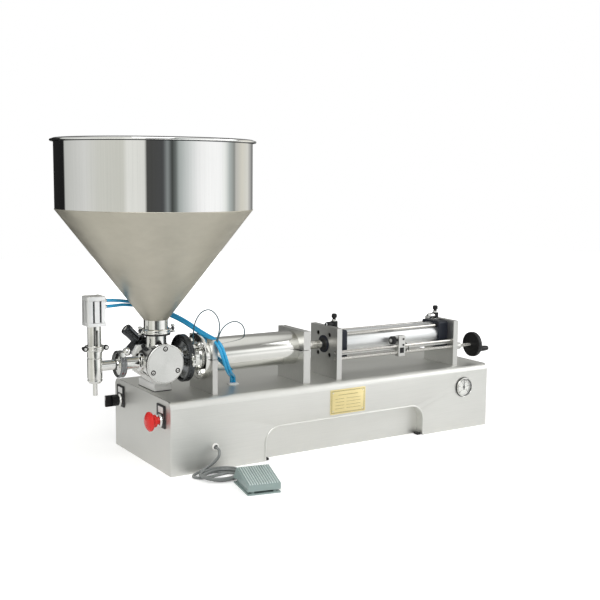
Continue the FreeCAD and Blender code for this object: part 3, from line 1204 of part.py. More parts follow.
def build_pedal():
    """Foot switch on the floor: a ribbed treadle hinged at its low end on a flat base."""
    angle = dim.pedal_angle.value
    turn = Rotation(Vector(0, 0, 1), angle)
    corner = (left + dim.pedal_from_left, front - dim.pedal_before_front, 0)
    wide = dim.pedal_width
    long = dim.pedal_length
    ridge_at = long - 20

    # A side outline is (y, z) and grows along the pedal's width.
    floor = dim.pedal_floor.value
    boss = dim.pedal_boss.value
    rise = dim.pedal_base_height.value - floor
    base = Part.makeBox(wide.value, long.value, floor)
    rails = Part.makeBox(wide.value - 8, long.value - 26, rise, Vector(4, 16, floor))
    cut_out = Part.makeBox(wide.value - 16, long.value - 34, rise, Vector(8, 20, floor))
    tongue = Part.makeBox(16, boss, floor, Vector(wide.value / 2 - 8, long.value - 1, 0))
    boss_start = Vector(wide.value / 2, long.value + 0.6, 7)
    cord_boss = Part.makeCone(6, 4.5, boss - 0.6, boss_start, Vector(0, 1, 0))
    base_shape = base.fuse([rails, tongue, cord_boss]).cut(cut_out).removeSplitter()
    hinge_y, hinge_z, pin_radius = 8.0, 11.0, 2.0
    ears = [Part.makeBox(5, 12, 15 - floor, Vector(x, 3.4, floor)) for x in (9.0, wide.value - 14.0)]
    pin_hole = Part.makeCylinder(pin_radius + 0.05, wide.value, Vector(0, hinge_y, hinge_z), Vector(1, 0, 0))
    base_shape = base_shape.fuse(ears).cut(pin_hole).removeSplitter()
    toe, ridge = dim.pedal_toe.value, dim.pedal_ridge.value
    side = [
        Vector(0, 0, 7.6), Vector(0, 0, toe), Vector(0, ridge_at.value, ridge), Vector(0, long.value, 14),
        Vector(0, long.value, 9), Vector(0, ridge_at.value, 13), Vector(0, 16, 13), Vector(0, 3, 7.6)]
    cover = Part.Face(Part.makePolygon(side + [side[0]])).extrude(Vector(wide.value, 0, 0))
    wall = dim.pedal_wall.value
    inner = [
        Vector(wall, 3, 5), Vector(wall, 3, toe - wall), Vector(wall, ridge_at.value, ridge - wall - 0.5),
        Vector(wall, long.value - 4, 14), Vector(wall, long.value - 4, 5)]
    hollow = Part.Face(Part.makePolygon(inner + [inner[0]])).extrude(Vector(wide.value - 2 * wall, 0, 0))
    cover = cover.cut(hollow)
    slope = math.atan2(ridge - toe, ridge_at.value)
    ribs = []
    count = 15
    pitch = (wide.value - 6) / count
    for index in range(count):
        x = 3 + pitch * (index + 0.25)
        rib = [Vector(x, 2, toe), Vector(x, ridge_at.value - 1, ridge),
               Vector(x, ridge_at.value - 2, ridge + 1.0), Vector(x, 3, toe + 1.2)]
        ribs.append(Part.Face(Part.makePolygon(rib + [rib[0]])).extrude(Vector(pitch * 0.5, 0, 0)))
    cover = cover.fuse(ribs)
    lugs = []
    for x in (3.0, wide.value - 8.0):
        lugs.append(Part.makeBox(5.0, 10, 11, Vector(x, 3, 7.6)))
    cover = cover.fuse(lugs).cut(pin_hole).removeSplitter()
    pin = Part.makeCylinder(pin_radius, wide.value - 2, Vector(1, hinge_y, hinge_z), Vector(1, 0, 0))
    node(set_shape("pedal_base_body", Part.makeCompound([base_shape, pin]), corner, turn), "pedal_base")
    node(set_shape("pedal_treadle_body", cover, corner, turn), "pedal_treadle")


def build_cords():
    """Pedal cord from its grommet to the coil, the coil, and the short run to the pedal."""
    cable_x = left + dim.cable_from_left
    r = dim.cord_radius
    node(turned("grommet_ring", (
        (-4, r + 0.1), (-4, r + 2.9), (0, r + 2.9), (0, r + 4.5), (6, r + 1.5), (6, r + 0.1)),
        (cable_x, front, dim.cable_height), "-Y"), "cable_grommet")
    hose("cord_lead_tube", "cord_lead", (cable_x, front, 0), CORD_LEAD, r)
    wide, deep = COIL_REACH
    section = [
        Vector(wide - COIL_WIDTH, 0, 0), Vector(wide - 3, 0, 0), Vector(wide, 0, 4),
        Vector(wide, 0, COIL_HEIGHT - 4), Vector(wide - 5, 0, COIL_HEIGHT),
        Vector(wide - COIL_WIDTH + 4, 0, COIL_HEIGHT), Vector(wide - COIL_WIDTH, 0, COIL_HEIGHT - 5)]
    coil = Part.Face(Part.makePolygon(section + [section[0]])).revolve(Vector(), Vector(0, 0, 1), 360)
    squash = FreeCAD.Matrix()
    squash.scale(1, deep / wide, 1)
    node(set_shape("cord_coil_body", coil.transformGeometry(squash),
                   (cable_x + COIL_CENTRE[0], front + COIL_CENTRE[1], 0), Rotation()), "cord_coil")
    hose("cord_tail_tube", "cord_tail", (left + dim.pedal_from_left, front - dim.pedal_before_front, 0),
         CORD_TAIL, r)


def build_air_tubes():
    """Two air tubes from the nozzle's cylinder, behind the cone, over the saddle and into the base."""
    pipes = []
    spread = dim.tube_spread.value
    for side, start_z in ((-1, AIR_TUBE_PORTS[0]), (1, AIR_TUBE_PORTS[1])):
        points = [Vector(x, y, start_z) for x, y, *rest in AIR_TUBE_ROUTE[:2]]
        for x, y, z, across, up in AIR_TUBE_ROUTE[2:]:
            points.append(Vector(x + side * spread * across, y, z + side * spread * up))
        pipes.append(hose_shape(points, dim.air_tube_radius.value))
    node(set_shape("air_tube_pair", Part.makeCompound(pipes), (left, front, 0), Rotation()), "air_tubes")


build_chassis()
build_bottom_plate()
build_saddles()
build_material_cylinder()
build_front_flange()
build_pistons()
build_plates()
build_air_cylinder()
build_flow_controls()
build_stroke_setting()
build_valve()
build_rotor()
build_pinion()
build_actuator()
build_bracket()
build_hopper()
build_joints()
build_nozzle()
build_controls()
build_gauge()
build_nameplate()
build_services()
build_pedal()
build_cords()
build_air_tubes()
node(group("fastener_set", *fasteners), "socket_screws")
node(group("seal_ring_set", *seals), "joint_seals")


# Check every object, then write one file for each node

doc.recompute()
faulty = [item.Name for item in doc.Objects if "Invalid" in item.State or "Error" in item.State]
if faulty:
    raise RuntimeError("objects that failed to build: " + ", ".join(faulty))
for thing in nodes:
    if thing.Shape.isNull() or not thing.Shape.isValid() or not thing.Shape.Solids:
        raise RuntimeError("sub-part without a valid solid: " + thing.Label)
os.makedirs("parts", exist_ok=True)
for thing in nodes:
    thing.Shape.exportStep(os.path.join("parts", thing.Label + ".step"))
print(len(nodes), "nodes written")
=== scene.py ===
import json
import math

import bmesh
import bpy
import numpy as np
from bpy.props import FloatProperty, FloatVectorProperty, IntProperty, PointerProperty, StringProperty
from mathutils import Matrix, Vector


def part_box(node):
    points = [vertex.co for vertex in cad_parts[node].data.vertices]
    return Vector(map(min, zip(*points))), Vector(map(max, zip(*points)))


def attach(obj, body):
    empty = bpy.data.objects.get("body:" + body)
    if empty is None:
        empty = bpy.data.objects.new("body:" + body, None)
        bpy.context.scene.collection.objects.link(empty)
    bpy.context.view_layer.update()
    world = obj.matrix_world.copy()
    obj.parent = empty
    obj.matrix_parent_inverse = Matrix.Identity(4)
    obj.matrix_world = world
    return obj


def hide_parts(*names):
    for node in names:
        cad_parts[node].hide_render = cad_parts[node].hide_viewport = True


bl_info = {
    "name": "Piston Paste Filler Dressing",
    "version": (1, 0, 0),
    "blender": (4, 5, 0),
    "location": "View3D > Sidebar > Filler",
    "description": "Finishes, cords and turned parts for a bench-top piston paste filling machine",
    "category": "Add Mesh",
}

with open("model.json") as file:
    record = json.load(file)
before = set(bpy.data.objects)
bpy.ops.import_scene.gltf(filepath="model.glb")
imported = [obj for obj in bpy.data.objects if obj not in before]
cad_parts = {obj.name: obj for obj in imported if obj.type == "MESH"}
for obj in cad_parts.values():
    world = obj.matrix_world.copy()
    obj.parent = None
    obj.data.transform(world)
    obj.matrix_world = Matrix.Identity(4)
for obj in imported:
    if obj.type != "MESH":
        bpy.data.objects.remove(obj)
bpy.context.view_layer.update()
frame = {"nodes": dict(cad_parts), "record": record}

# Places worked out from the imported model, in metres

BASE_LOW, BASE_HIGH = (np.array(corner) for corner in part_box("chassis_shell"))
FRONT = BASE_LOW[1]
LEFT = BASE_LOW[0]
TOP = BASE_HIGH[2]


def middle(node):
    """The centre of a node's box."""
    low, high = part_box(node)
    return (np.array(low) + np.array(high)) / 2


CYLINDER = middle("material_cylinder_tube")
AXIS_Y = CYLINDER[1]
AXIS_Z = CYLINDER[2]
HOPPER = middle("hopper")
MM = 0.001


# Node trees

def linear(code):
    """An sRGB hex colour as linear RGBA."""
    parts = [int(code[i:i + 2], 16) / 255 for i in (1, 3, 5)]
    return [c / 12.92 if c <= 0.04045 else ((c + 0.055) / 1.055) ** 2.4 for c in parts] + [1.0]


def add(tree, kind, values=None, links=None, **settings):
    """Adds a node with its settings, its socket values and its links from other sockets."""
    new = tree.nodes.new(kind)
    for name, value in settings.items():
        setattr(new, name, value)
    for name, value in (values or {}).items():
        new.inputs[name].default_value = value
    for name, socket in (links or {}).items():
        tree.links.new(socket, new.inputs[name])
    return new


def blank_material(name):
    """A material with an empty node tree, its output and its Principled shader."""
    made = bpy.data.materials.new(name)
    made.use_nodes = True
    made.node_tree.nodes.clear()
    shader = add(made.node_tree, "ShaderNodeBsdfPrincipled")
    add(made.node_tree, "ShaderNodeOutputMaterial", links={"Surface": shader.outputs["BSDF"]})
    return made, made.node_tree, shader


def object_point(tree, scale=(1, 1, 1), turn=(0, 0, 0)):
    """Object coordinates, scaled and turned by a Mapping node."""
    where = add(tree, "ShaderNodeTexCoord")
    return add(tree, "ShaderNodeMapping", {"Scale": scale, "Rotation": turn},
               {"Vector": where.outputs["Object"]}).outputs["Vector"]


def ramp_colour(tree, factor, low, high, start=0.0, end=1.0):
    """A factor spread between two hex colours."""
    made = add(tree, "ShaderNodeValToRGB", links={"Fac": factor})
    made.color_ramp.elements[0].position = start
    made.color_ramp.elements[1].position = end
    made.color_ramp.elements[0].color = linear(low)
    made.color_ramp.elements[1].color = linear(high)
    return made.outputs["Color"]


def scale_factor(tree, factor, low, high):
    """A factor from 0 to 1 mapped onto a range, for roughness."""
    return add(tree, "ShaderNodeMapRange", {"To Min": low, "To Max": high}, {"Value": factor}).outputs["Result"]


def bumped(tree, shader, height, distance, strength=0.5):
    """Feeds a height into the shader's normal; the distance is the relief's depth in metres."""
    bump = add(tree, "ShaderNodeBump", {"Distance": distance, "Strength": strength}, {"Height": height})
    tree.links.new(bump.outputs["Normal"], shader.inputs["Normal"])


def brushed(name, dark, light, rough, grain, scratch, anisotropy=0.3):
    """Stainless steel rubbed in one direction: long thin scratches, grain gives their scale by axis."""
    made, tree, shader = blank_material(name)
    fine = add(tree, "ShaderNodeTexNoise", {"Scale": 1.0, "Detail": 5.0, "Roughness": 0.6},
               {"Vector": object_point(tree, grain)}).outputs["Fac"]
    cloud = add(tree, "ShaderNodeTexNoise", {"Scale": 9.0, "Detail": 3.0},
                {"Vector": object_point(tree)}).outputs["Fac"]
    mixed = add(tree, "ShaderNodeMix", {"Factor": 0.35}, {"A": fine, "B": cloud}).outputs["Result"]
    tree.links.new(ramp_colour(tree, mixed, dark, light, 0.3, 0.7), shader.inputs["Base Color"])
    tree.links.new(scale_factor(tree, fine, rough * 0.8, rough * 1.25), shader.inputs["Roughness"])
    shader.inputs["Metallic"].default_value = 1.0
    shader.inputs["Anisotropic"].default_value = anisotropy
    bumped(tree, shader, fine, scratch, 0.25)
    return made


def sheet_steel():
    """304 stainless sheet, belt-ground along its length: satin, with faint lines along X."""
    return brushed("satin_stainless_sheet", "#D8D8D4", "#E2E2DE", 0.43, (14, 900, 900), 0.00001, 0.15)


def milled_steel():
    """Milled stainless plate: flat, slightly darker, with a fine cross grain."""
    return brushed("milled_stainless_plate", "#BEBEBB", "#D0D0CD", 0.38, (900, 900, 90), 0.00001, 0.1)


def ground_steel():
    """Stainless block blasted with glass beads: it scatters light, so it looks pale on every side."""
    made = brushed("blasted_stainless_block", "#EDEDEA", "#F6F6F4", 0.45, (900, 900, 90), 0.000008, 0.1)
    shader = next(node for node in made.node_tree.nodes if node.type == "BSDF_PRINCIPLED")
    shader.inputs["Metallic"].default_value = 0.35
    return made


def polished_steel():
    """Electropolished stainless tube and fittings: near mirror, with soft waviness."""
    return brushed("polished_stainless", "#D2D2CF", "#E6E6E3", 0.11, (60, 60, 60), 0.00001, 0.0)


def tube_steel():
    """Honed cylinder tube, polished outside: soft long reflections."""
    return brushed("polished_cylinder_tube", "#D6D6D1", "#E0E0DC", 0.13, (12, 12, 12), 0.000004, 0.0)


def hopper_steel():
    """Rolled hopper band, polished to a mirror, with very faint upright rolling lines."""
    return brushed("mirror_polished_band", "#EDEEED", "#F7F7F6", 0.035, (260, 260, 3), 0.000004, 0.0)


def cone_steel():
    """Rolled cone in an even satin, soft in its reflections; its warm grey colour is a painted reflection of the
    floor and the base's top below it.
    """
    return brushed("satin_cone_painted_reflection", "#BCB8AB", "#CBC7BA", 0.46, (30, 30, 60), 0.00001, 0.0)


def turned_steel():
    """Ground and chromed rod: bright and smooth with rings round its axis."""
    return brushed("ground_chromed_rod", "#B9B7B2", "#DAD8D3", 0.14, (600, 20, 20), 0.00001, 0.0)


def faced_steel():
    """Stainless disc faced in the lathe: fine rings round its centre, which draw a bright bow tie of light."""
    made, tree, shader = blank_material("faced_stainless_disc")
    centre = middle("valve_front_cover")
    where = add(tree, "ShaderNodeTexCoord")
    moved = add(tree, "ShaderNodeVectorMath", {1: (-centre[0], 0, -centre[2])}, {0: where.outputs["Object"]},
                operation="ADD")
    flat = add(tree, "ShaderNodeVectorMath", {1: (1, 0, 1)}, {0: moved.outputs[0]}, operation="MULTIPLY")
    distance = add(tree, "ShaderNodeVectorMath", links={0: flat.outputs[0]}, operation="LENGTH")
    fine = add(tree, "ShaderNodeTexNoise", {"Scale": 1600.0, "Detail": 3.0}, {"W": distance.outputs["Value"]},
               noise_dimensions="1D")
    tree.links.new(ramp_colour(tree, fine.outputs["Fac"], "#C2C2BF", "#DDDDDA", 0.3, 0.7),
                   shader.inputs["Base Color"])
    tree.links.new(scale_factor(tree, fine.outputs["Fac"], 0.2, 0.3), shader.inputs["Roughness"])
    shader.inputs["Metallic"].default_value = 1.0
    shader.inputs["Anisotropic"].default_value = 0.6
    around = add(tree, "ShaderNodeTangent", direction_type="RADIAL", axis="Y")
    tree.links.new(around.outputs["Tangent"], shader.inputs["Tangent"])
    bumped(tree, shader, fine.outputs["Fac"], 0.00002, 0.3)
    return made


def silver_aluminium():
    """Clear anodised aluminium tube, drawn: pale and even with a soft sheen."""
    return brushed("clear_anodised_aluminium", "#DDDFE0", "#ECEDED", 0.42, (12, 500, 500), 0.00002, 0.1)


def moulded(name, code, rough, grit_mm, depth_mm, specular=0.5, variation=0.08):
    """Moulded plastic: one colour with a slight drift, and the fine texture of the mould."""
    made, tree, shader = blank_material(name)
    grit = add(tree, "ShaderNodeTexNoise", {"Scale": 1.0 / (grit_mm * MM), "Detail": 2.0},
               {"Vector": object_point(tree)}).outputs["Fac"]
    cloud = add(tree, "ShaderNodeTexNoise", {"Scale": 24.0, "Detail": 3.0},
                {"Vector": object_point(tree)}).outputs["Fac"]
    base = linear(code)
    low = [channel * (1 - variation) for channel in base[:3]] + [1]
    high = [min(channel * (1 + variation), 1) for channel in base[:3]] + [1]
    ramp = add(tree, "ShaderNodeValToRGB", links={"Fac": cloud})
    ramp.color_ramp.elements[0].color = low
    ramp.color_ramp.elements[1].color = high
    tree.links.new(ramp.outputs["Color"], shader.inputs["Base Color"])
    tree.links.new(scale_factor(tree, grit, rough * 0.85, rough * 1.15), shader.inputs["Roughness"])
    shader.inputs["Specular IOR Level"].default_value = specular
    bumped(tree, shader, grit, depth_mm * MM, 0.35)
    return made


def clear_glass():
    """Flat gauge window: clear glass, so the dial shows through."""
    made, tree, shader = blank_material("clear_window_glass")
    shader.inputs["Base Color"].default_value = linear("#F4F8F8")
    shader.inputs["Roughness"].default_value = 0.03
    shader.inputs["Alpha"].default_value = 0.05
    shader.inputs["Specular IOR Level"].default_value = 0.25
    shader.inputs["IOR"].default_value = 1.5
    return made


def gold_plate():
    """Gold anodised aluminium sheet: brushed along its length, warm and satin."""
    return brushed("gold_anodised_sheet", "#E2D194", "#F0E2B0", 0.42, (30, 900, 900), 0.00001)


finishes = {}


def finish(name):
    """A material by name, made once."""
    makers = {
        "sheet": sheet_steel, "milled": milled_steel, "ground": ground_steel, "polished": polished_steel,
        "hopper": hopper_steel, "tube": tube_steel, "cone": cone_steel,
        # Bead-blasted and clear anodised: whiter and softer than the drawn tube
        "pale": lambda: brushed(
            "blasted_anodised_aluminium", "#F1F2F2", "#F9F9F9", 0.5, (60, 60, 60), 0.00001, 0.0),
        "turned": turned_steel, "silver": silver_aluminium, "glass": clear_glass, "gold": gold_plate,
        # Black acetal knobs: deep black with a soft shine; the same finish paints a shade ring on the small clamp's
        # ball knob
        "black": lambda: moulded("black_acetal_and_painted_shade", "#101012", 0.36, 0.5, 0.02, 0.35),
        # Hard anodised cap: blue-black and satin
        "navy": lambda: moulded("blue_black_anodised", "#161B26", 0.36, 0.6, 0.02, 0.3),
        "legend": lambda: moulded("black_engraving_laminate", "#1D1D1F", 0.45, 0.5, 0.01),
        "red": lambda: moulded("red_moulded_abs", "#D8231F", 0.26, 0.8, 0.01),
        "white": lambda: moulded("white_nylon", "#E9E9E5", 0.4, 0.6, 0.02),
        "pedal": lambda: moulded("grey_green_abs", "#8FA09D", 0.42, 0.7, 0.02),
        # Ribs of the treadle: the same plastic, coloured much paler than the treadle
        "pedal_rib": lambda: moulded("pale_grey_green_abs", "#CAD6D3", 0.38, 0.7, 0.02),
        "cord": lambda: moulded("grey_pvc_sheath", "#747877", 0.22, 0.9, 0.02, 0.7),
        "blue": lambda: moulded("blue_polyurethane_tube", "#2DA1D2", 0.22, 1.2, 0.01),
        # Thin wire in a dark blue-grey jacket
        "wire": lambda: moulded("blue_grey_pvc_jacket", "#335560", 0.35, 0.8, 0.005),
        # Black nitrile rubber of the seals and the carriage's cable, and the saddles' split lines; the same finish
        # paints shade round the valve bracket's foot, on the valve cover's side, in the grommet's bore and in the
        # arches' corners
        "rubber": lambda: moulded("black_rubber_and_painted_shade", "#1E1E1E", 0.6, 0.4, 0.02),
        "dial": lambda: moulded("white_enamelled_dial", "#F1F1EC", 0.35, 0.8, 0.003),
        "ink": lambda: moulded("black_printing_ink", "#111111", 0.5, 0.5, 0.001),
        "brass": lambda: brushed("turned_brass", "#A98544", "#CDA95F", 0.25, (300, 300, 300), 0.00001),
        # Dark anodised aluminium of the actuator and bands: nearly black with a metal's shine. The same finish
        # paints shade under the hopper's rim and on its lip, along the base's end plates and on the nozzle
        # cylinder's groove floors
        "dark": lambda: brushed(
            "dark_anodised_aluminium_and_painted_shade", "#3E4042", "#55575A", 0.26, (200, 200, 200), 0.00001),
        # Cast and tumbled clamp: grey between the polished fittings
        "tumbled": lambda: brushed(
            "tumbled_stainless_casting", "#727476", "#8A8C8D", 0.2, (200, 200, 200), 0.00001),
        # Rolled hem of the arch: a little glossier than the sheet, and painted a shade paler as a highlight along
        # its fold
        "hem": lambda: brushed("sheet_hem_painted_highlight", "#E0E0DC", "#E8E8E5", 0.38, (40, 400, 400), 0.00001),
        # Faced in the lathe: fine rings round the disc's centre
        "spun": faced_steel,
        # Near-black steel: painted shade in the cover's screw counterbores and sockets round their bright heads, and
        # the front plate's screws, dark all over
        "dark_steel_and_shade": lambda: brushed(
            "dark_steel_and_painted_counterbore_shade", "#2E2D2C", "#4A4846", 0.3, (300, 300, 300), 0.00001),
        # Lines etched into the gold plate: darker and matt
        "etched": lambda: moulded("etched_line", "#5E4E22", 0.5, 0.4, 0.002),
    }
    if name not in finishes:
        finishes[name] = makers[name]()
    return finishes[name]


# Surfaces

class Skin:
    """Vertices, faces and finish numbers gathered from several surfaces for one mesh."""

    def __init__(self):
        self.points = []
        self.faces = []
        self.marks = []
        self.count = 0

    def grid(self, points, mark=0, wrap_rows=False, wrap_columns=False):
        """Quads between the rows and columns of a grid of points, joined round where asked."""
        points = np.asarray(points, dtype=float)
        rows, columns = points.shape[:2]
        number = np.arange(rows * columns).reshape(rows, columns) + self.count
        if wrap_rows:
            number = np.vstack([number, number[:1]])
        if wrap_columns:
            number = np.hstack([number, number[:, :1]])
        quads = np.stack([number[:-1, :-1], number[:-1, 1:], number[1:, 1:], number[1:, :-1]], axis=-1)
        self._keep(points.reshape(-1, 3), quads.reshape(-1, 4).tolist(), mark)

    def lid(self, loop, mark=0):
        """One flat face over a closed loop of points."""
        loop = np.asarray(loop, dtype=float)
        self._keep(loop, [(np.arange(len(loop)) + self.count).tolist()], mark)

    def _keep(self, points, faces, mark):
        self.points.append(points)
        self.faces.extend(faces)
        self.marks.extend([mark] * len(faces))
        self.count += len(points)


def axes(along):
    """A direction and two directions square to it."""
    along = np.array(along, dtype=float)
    along /= np.linalg.norm(along)
    side = np.array((0.0, 0.0, 1.0)) if abs(along[2]) < 0.9 else np.array((1.0, 0.0, 0.0))
    first = np.cross(side, along)
    first /= np.linalg.norm(first)
    return along, first, np.cross(along, first)


def rounded(corners, steps=4):
    """An outline of (a, b, radius) corners: each corner becomes an arc tangent to both of its sides."""
    corners = [np.array(corner, dtype=float) for corner in corners]
    made = []
    for index, corner in enumerate(corners):
        radius = corner[2] if len(corner) > 2 else 0.0
        if radius <= 0 or index in (0, len(corners) - 1):
            made.append(corner[:2])
            continue
        back = corners[index - 1][:2] - corner[:2]
        ahead = corners[index + 1][:2] - corner[:2]
        reach_back, reach_ahead = np.linalg.norm(back), np.linalg.norm(ahead)
        back, ahead = back / reach_back, ahead / reach_ahead
        half = math.acos(np.clip(back @ ahead, -1, 1)) / 2
        if half > 1.55:
            made.append(corner[:2])
            continue
        radius = min(radius, 0.49 * min(reach_back, reach_ahead) * math.tan(half))
        middle_way = (back + ahead) / np.linalg.norm(back + ahead)
        centre = corner[:2] + middle_way * radius / math.sin(half)
        start = corner[:2] + back * radius / math.tan(half) - centre
        end = corner[:2] + ahead * radius / math.tan(half) - centre
        sweep = math.acos(np.clip(start @ end / radius ** 2, -1, 1))
        share = np.linspace(0, 1, steps + 1)[:, None]
        made.extend(centre + (np.sin((1 - share) * sweep) * start + np.sin(share * sweep) * end) / math.sin(sweep))
    return np.array(made)


def lathe(skin, profile, at, along, mark=0, sides=72, flute=None):
    """A profile of (distance, radius) rows in millimetres spun round an axis through a point in metres.

    Point(u, v) = at + distance(u) * axis + radius(u) * (cos v, sin v) in the plane square to the axis.
    A row's third number, if it isn't 0, makes its loop a polygon of that many flats: the radius is then
    the distance to a flat, divided by the cosine of the angle from the middle of the flat.
    A flute function adds to the radius by angle and distance.
    """
    table = np.array([(tuple(row) + (0,))[:3] for row in profile], dtype=float)
    distance, radius, flats = table[:, 0:1] * MM, table[:, 1:2] * MM, table[:, 2:3]
    axis, first, second = axes(along)
    angle = np.linspace(0, 2 * math.pi, sides, endpoint=False)[None, :]
    share = 2 * math.pi / np.where(flats > 0, flats, 1)
    flat_angle = np.mod(angle, share) - share / 2
    reach = radius / np.where(flats > 0, np.cos(flat_angle), 1.0)
    if flute is not None:
        reach = reach + flute(angle, distance) * (radius > 1e-9)
    round_part = np.cos(angle)[:, :, None] * first + np.sin(angle)[:, :, None] * second
    skin.grid(np.array(at) + distance[:, :, None] * axis + reach[:, :, None] * round_part, mark,
              wrap_columns=True)


def slab_section(half_wide, half_tall, corner, steps):
    """A rounded rectangle's loop round its centre."""
    corner = max(min(corner, half_wide, half_tall), 1e-5)
    quarter = np.linspace(0, math.pi / 2, steps + 1)
    loop = []
    for turn, (side, level) in enumerate(((1, 1), (-1, 1), (-1, -1), (1, -1))):
        angle = quarter + turn * math.pi / 2
        loop.append(np.stack([side * (half_wide - corner) + corner * np.cos(angle),
                              level * (half_tall - corner) + corner * np.sin(angle)], axis=1))
    return np.concatenate(loop)


def slab(skin, low, high, along=2, corner=2.0, edge=0.8, mark=0, steps=4):
    """A block with rounded corners and rolled ends, from its box in metres; corner and edge in millimetres.

    The section is a rounded rectangle carried along one axis. Near each end it draws in by
    edge - sqrt(edge^2 - (edge - distance)^2), which rolls the rim.
    """
    low, high = np.array(low, dtype=float), np.array(high, dtype=float)
    corner, edge = corner * MM, edge * MM
    others = [(along + 1) % 3, (along + 2) % 3]
    centre = (low + high) / 2
    half = (high - low) / 2
    depth = np.linspace(0, edge, steps + 1)
    draw_in = edge - np.sqrt(np.maximum(edge ** 2 - (edge - depth) ** 2, 0))
    levels = np.concatenate([low[along] + depth, high[along] - depth[::-1]])
    insets = np.concatenate([draw_in, draw_in[::-1]])
    rows = []
    for level, inset in zip(levels, insets):
        loop = slab_section(half[others[0]] - inset, half[others[1]] - inset, corner - inset, steps)
        row = np.zeros((len(loop), 3))
        row[:, others[0]] = centre[others[0]] + loop[:, 0]
        row[:, others[1]] = centre[others[1]] + loop[:, 1]
        row[:, along] = level
        rows.append(row)
    skin.grid(np.array(rows), mark, wrap_columns=True)
    skin.lid(rows[0], mark)
    skin.lid(rows[-1], mark)


def finished(name, skin, body, finish_names, replaced=(), sharp=28.0):
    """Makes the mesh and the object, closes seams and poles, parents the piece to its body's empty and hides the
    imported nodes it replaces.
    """
    mesh = bpy.data.meshes.new(name)
    mesh.from_pydata(np.concatenate(skin.points), [], skin.faces)
    mesh.polygons.foreach_set("material_index", skin.marks)
    work = bmesh.new()
    work.from_mesh(mesh)
    bmesh.ops.remove_doubles(work, verts=work.verts, dist=2e-6)
    bmesh.ops.dissolve_degenerate(work, edges=work.edges, dist=1e-7)
    bmesh.ops.recalc_face_normals(work, faces=work.faces)
    work.to_mesh(mesh)
    work.free()
    mesh.polygons.foreach_set("use_smooth", [True] * len(mesh.polygons))
    mesh.set_sharp_from_angle(angle=math.radians(sharp))
    for finish_name in finish_names:
        mesh.materials.append(finish(finish_name))
    piece = bpy.data.objects.new(name, mesh)
    bpy.context.scene.collection.objects.link(piece)
    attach(piece, body)
    if replaced:
        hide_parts(*replaced)
    return piece


def dressed(name, node, body, finish_name, edge=0.5):
    """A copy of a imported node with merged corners, flat faces joined and its edges rolled by a Bevel."""
    source = frame["nodes"][node]
    mesh = source.data.copy()
    mesh.name = name
    work = bmesh.new()
    work.from_mesh(mesh)
    bmesh.ops.remove_doubles(work, verts=work.verts, dist=1e-6)
    bmesh.ops.dissolve_limit(work, angle_limit=math.radians(1.0), verts=work.verts, edges=work.edges)
    work.to_mesh(mesh)
    work.free()
    mesh.materials.clear()
    mesh.materials.append(finish(finish_name))
    mesh.polygons.foreach_set("use_smooth", [True] * len(mesh.polygons))
    mesh.polygons.foreach_set("material_index", [0] * len(mesh.polygons))
    mesh.set_sharp_from_angle(angle=math.radians(30))
    piece = bpy.data.objects.new(name, mesh)
    bpy.context.scene.collection.objects.link(piece)
    bevel = piece.modifiers.new("rolled_edges", "BEVEL")
    bevel.width = edge * MM
    bevel.segments = 2
    bevel.limit_method = "ANGLE"
    bevel.angle_limit = math.radians(35)
    bevel.harden_normals = True
    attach(piece, body)
    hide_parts(node)
    return piece


def fold_edges(piece, picks, radius):
    """Puts a wider Bevel ahead of the others, on the edges that a function of their two ends gives a share."""
    mesh = piece.data
    corners = np.zeros(len(mesh.vertices) * 3)
    mesh.vertices.foreach_get("co", corners)
    ends = np.zeros(len(mesh.edges) * 2, dtype=int)
    mesh.edges.foreach_get("vertices", ends)
    shares = picks(corners.reshape(-1, 3)[ends.reshape(-1, 2)])
    weight = mesh.attributes.new("bevel_weight_edge", "FLOAT", "EDGE")
    weight.data.foreach_set("value", shares.astype(np.float32))
    fold = piece.modifiers.new("folds", "BEVEL")
    fold.width = radius
    fold.segments = 5
    fold.limit_method = "WEIGHT"
    fold.harden_normals = True
    piece.modifiers.move(len(piece.modifiers) - 1, 0)


def base_folds(ends):
    """Shares for the base's folds: its top's long edges in full, its upright corners in part.

    An edge counts when both of its ends lie on the two outer planes that meet there.
    """
    low, high = BASE_LOW + 0.1 * MM, BASE_HIGH - 0.1 * MM
    at_side = ((ends[:, :, 0] < low[0]) | (ends[:, :, 0] > high[0])).all(axis=1)
    at_face = ((ends[:, :, 1] < low[1]) | (ends[:, :, 1] > high[1])).all(axis=1)
    at_top = (ends[:, :, 2] > high[2]).all(axis=1)
    across = np.abs(ends[:, 0, :] - ends[:, 1, :])
    top_fold = at_top & at_face & (across[:, 0] > across[:, 1])
    upright = at_side & at_face & (across[:, 2] > across[:, 0] + across[:, 1])
    return np.where(top_fold, 1.0, np.where(upright, 0.75, 0.0))


def recoat(node, finish_name):
    """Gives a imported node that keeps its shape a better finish."""
    mesh = frame["nodes"][node].data
    mesh.materials.clear()
    mesh.materials.append(finish(finish_name))


# Settings that a user would change

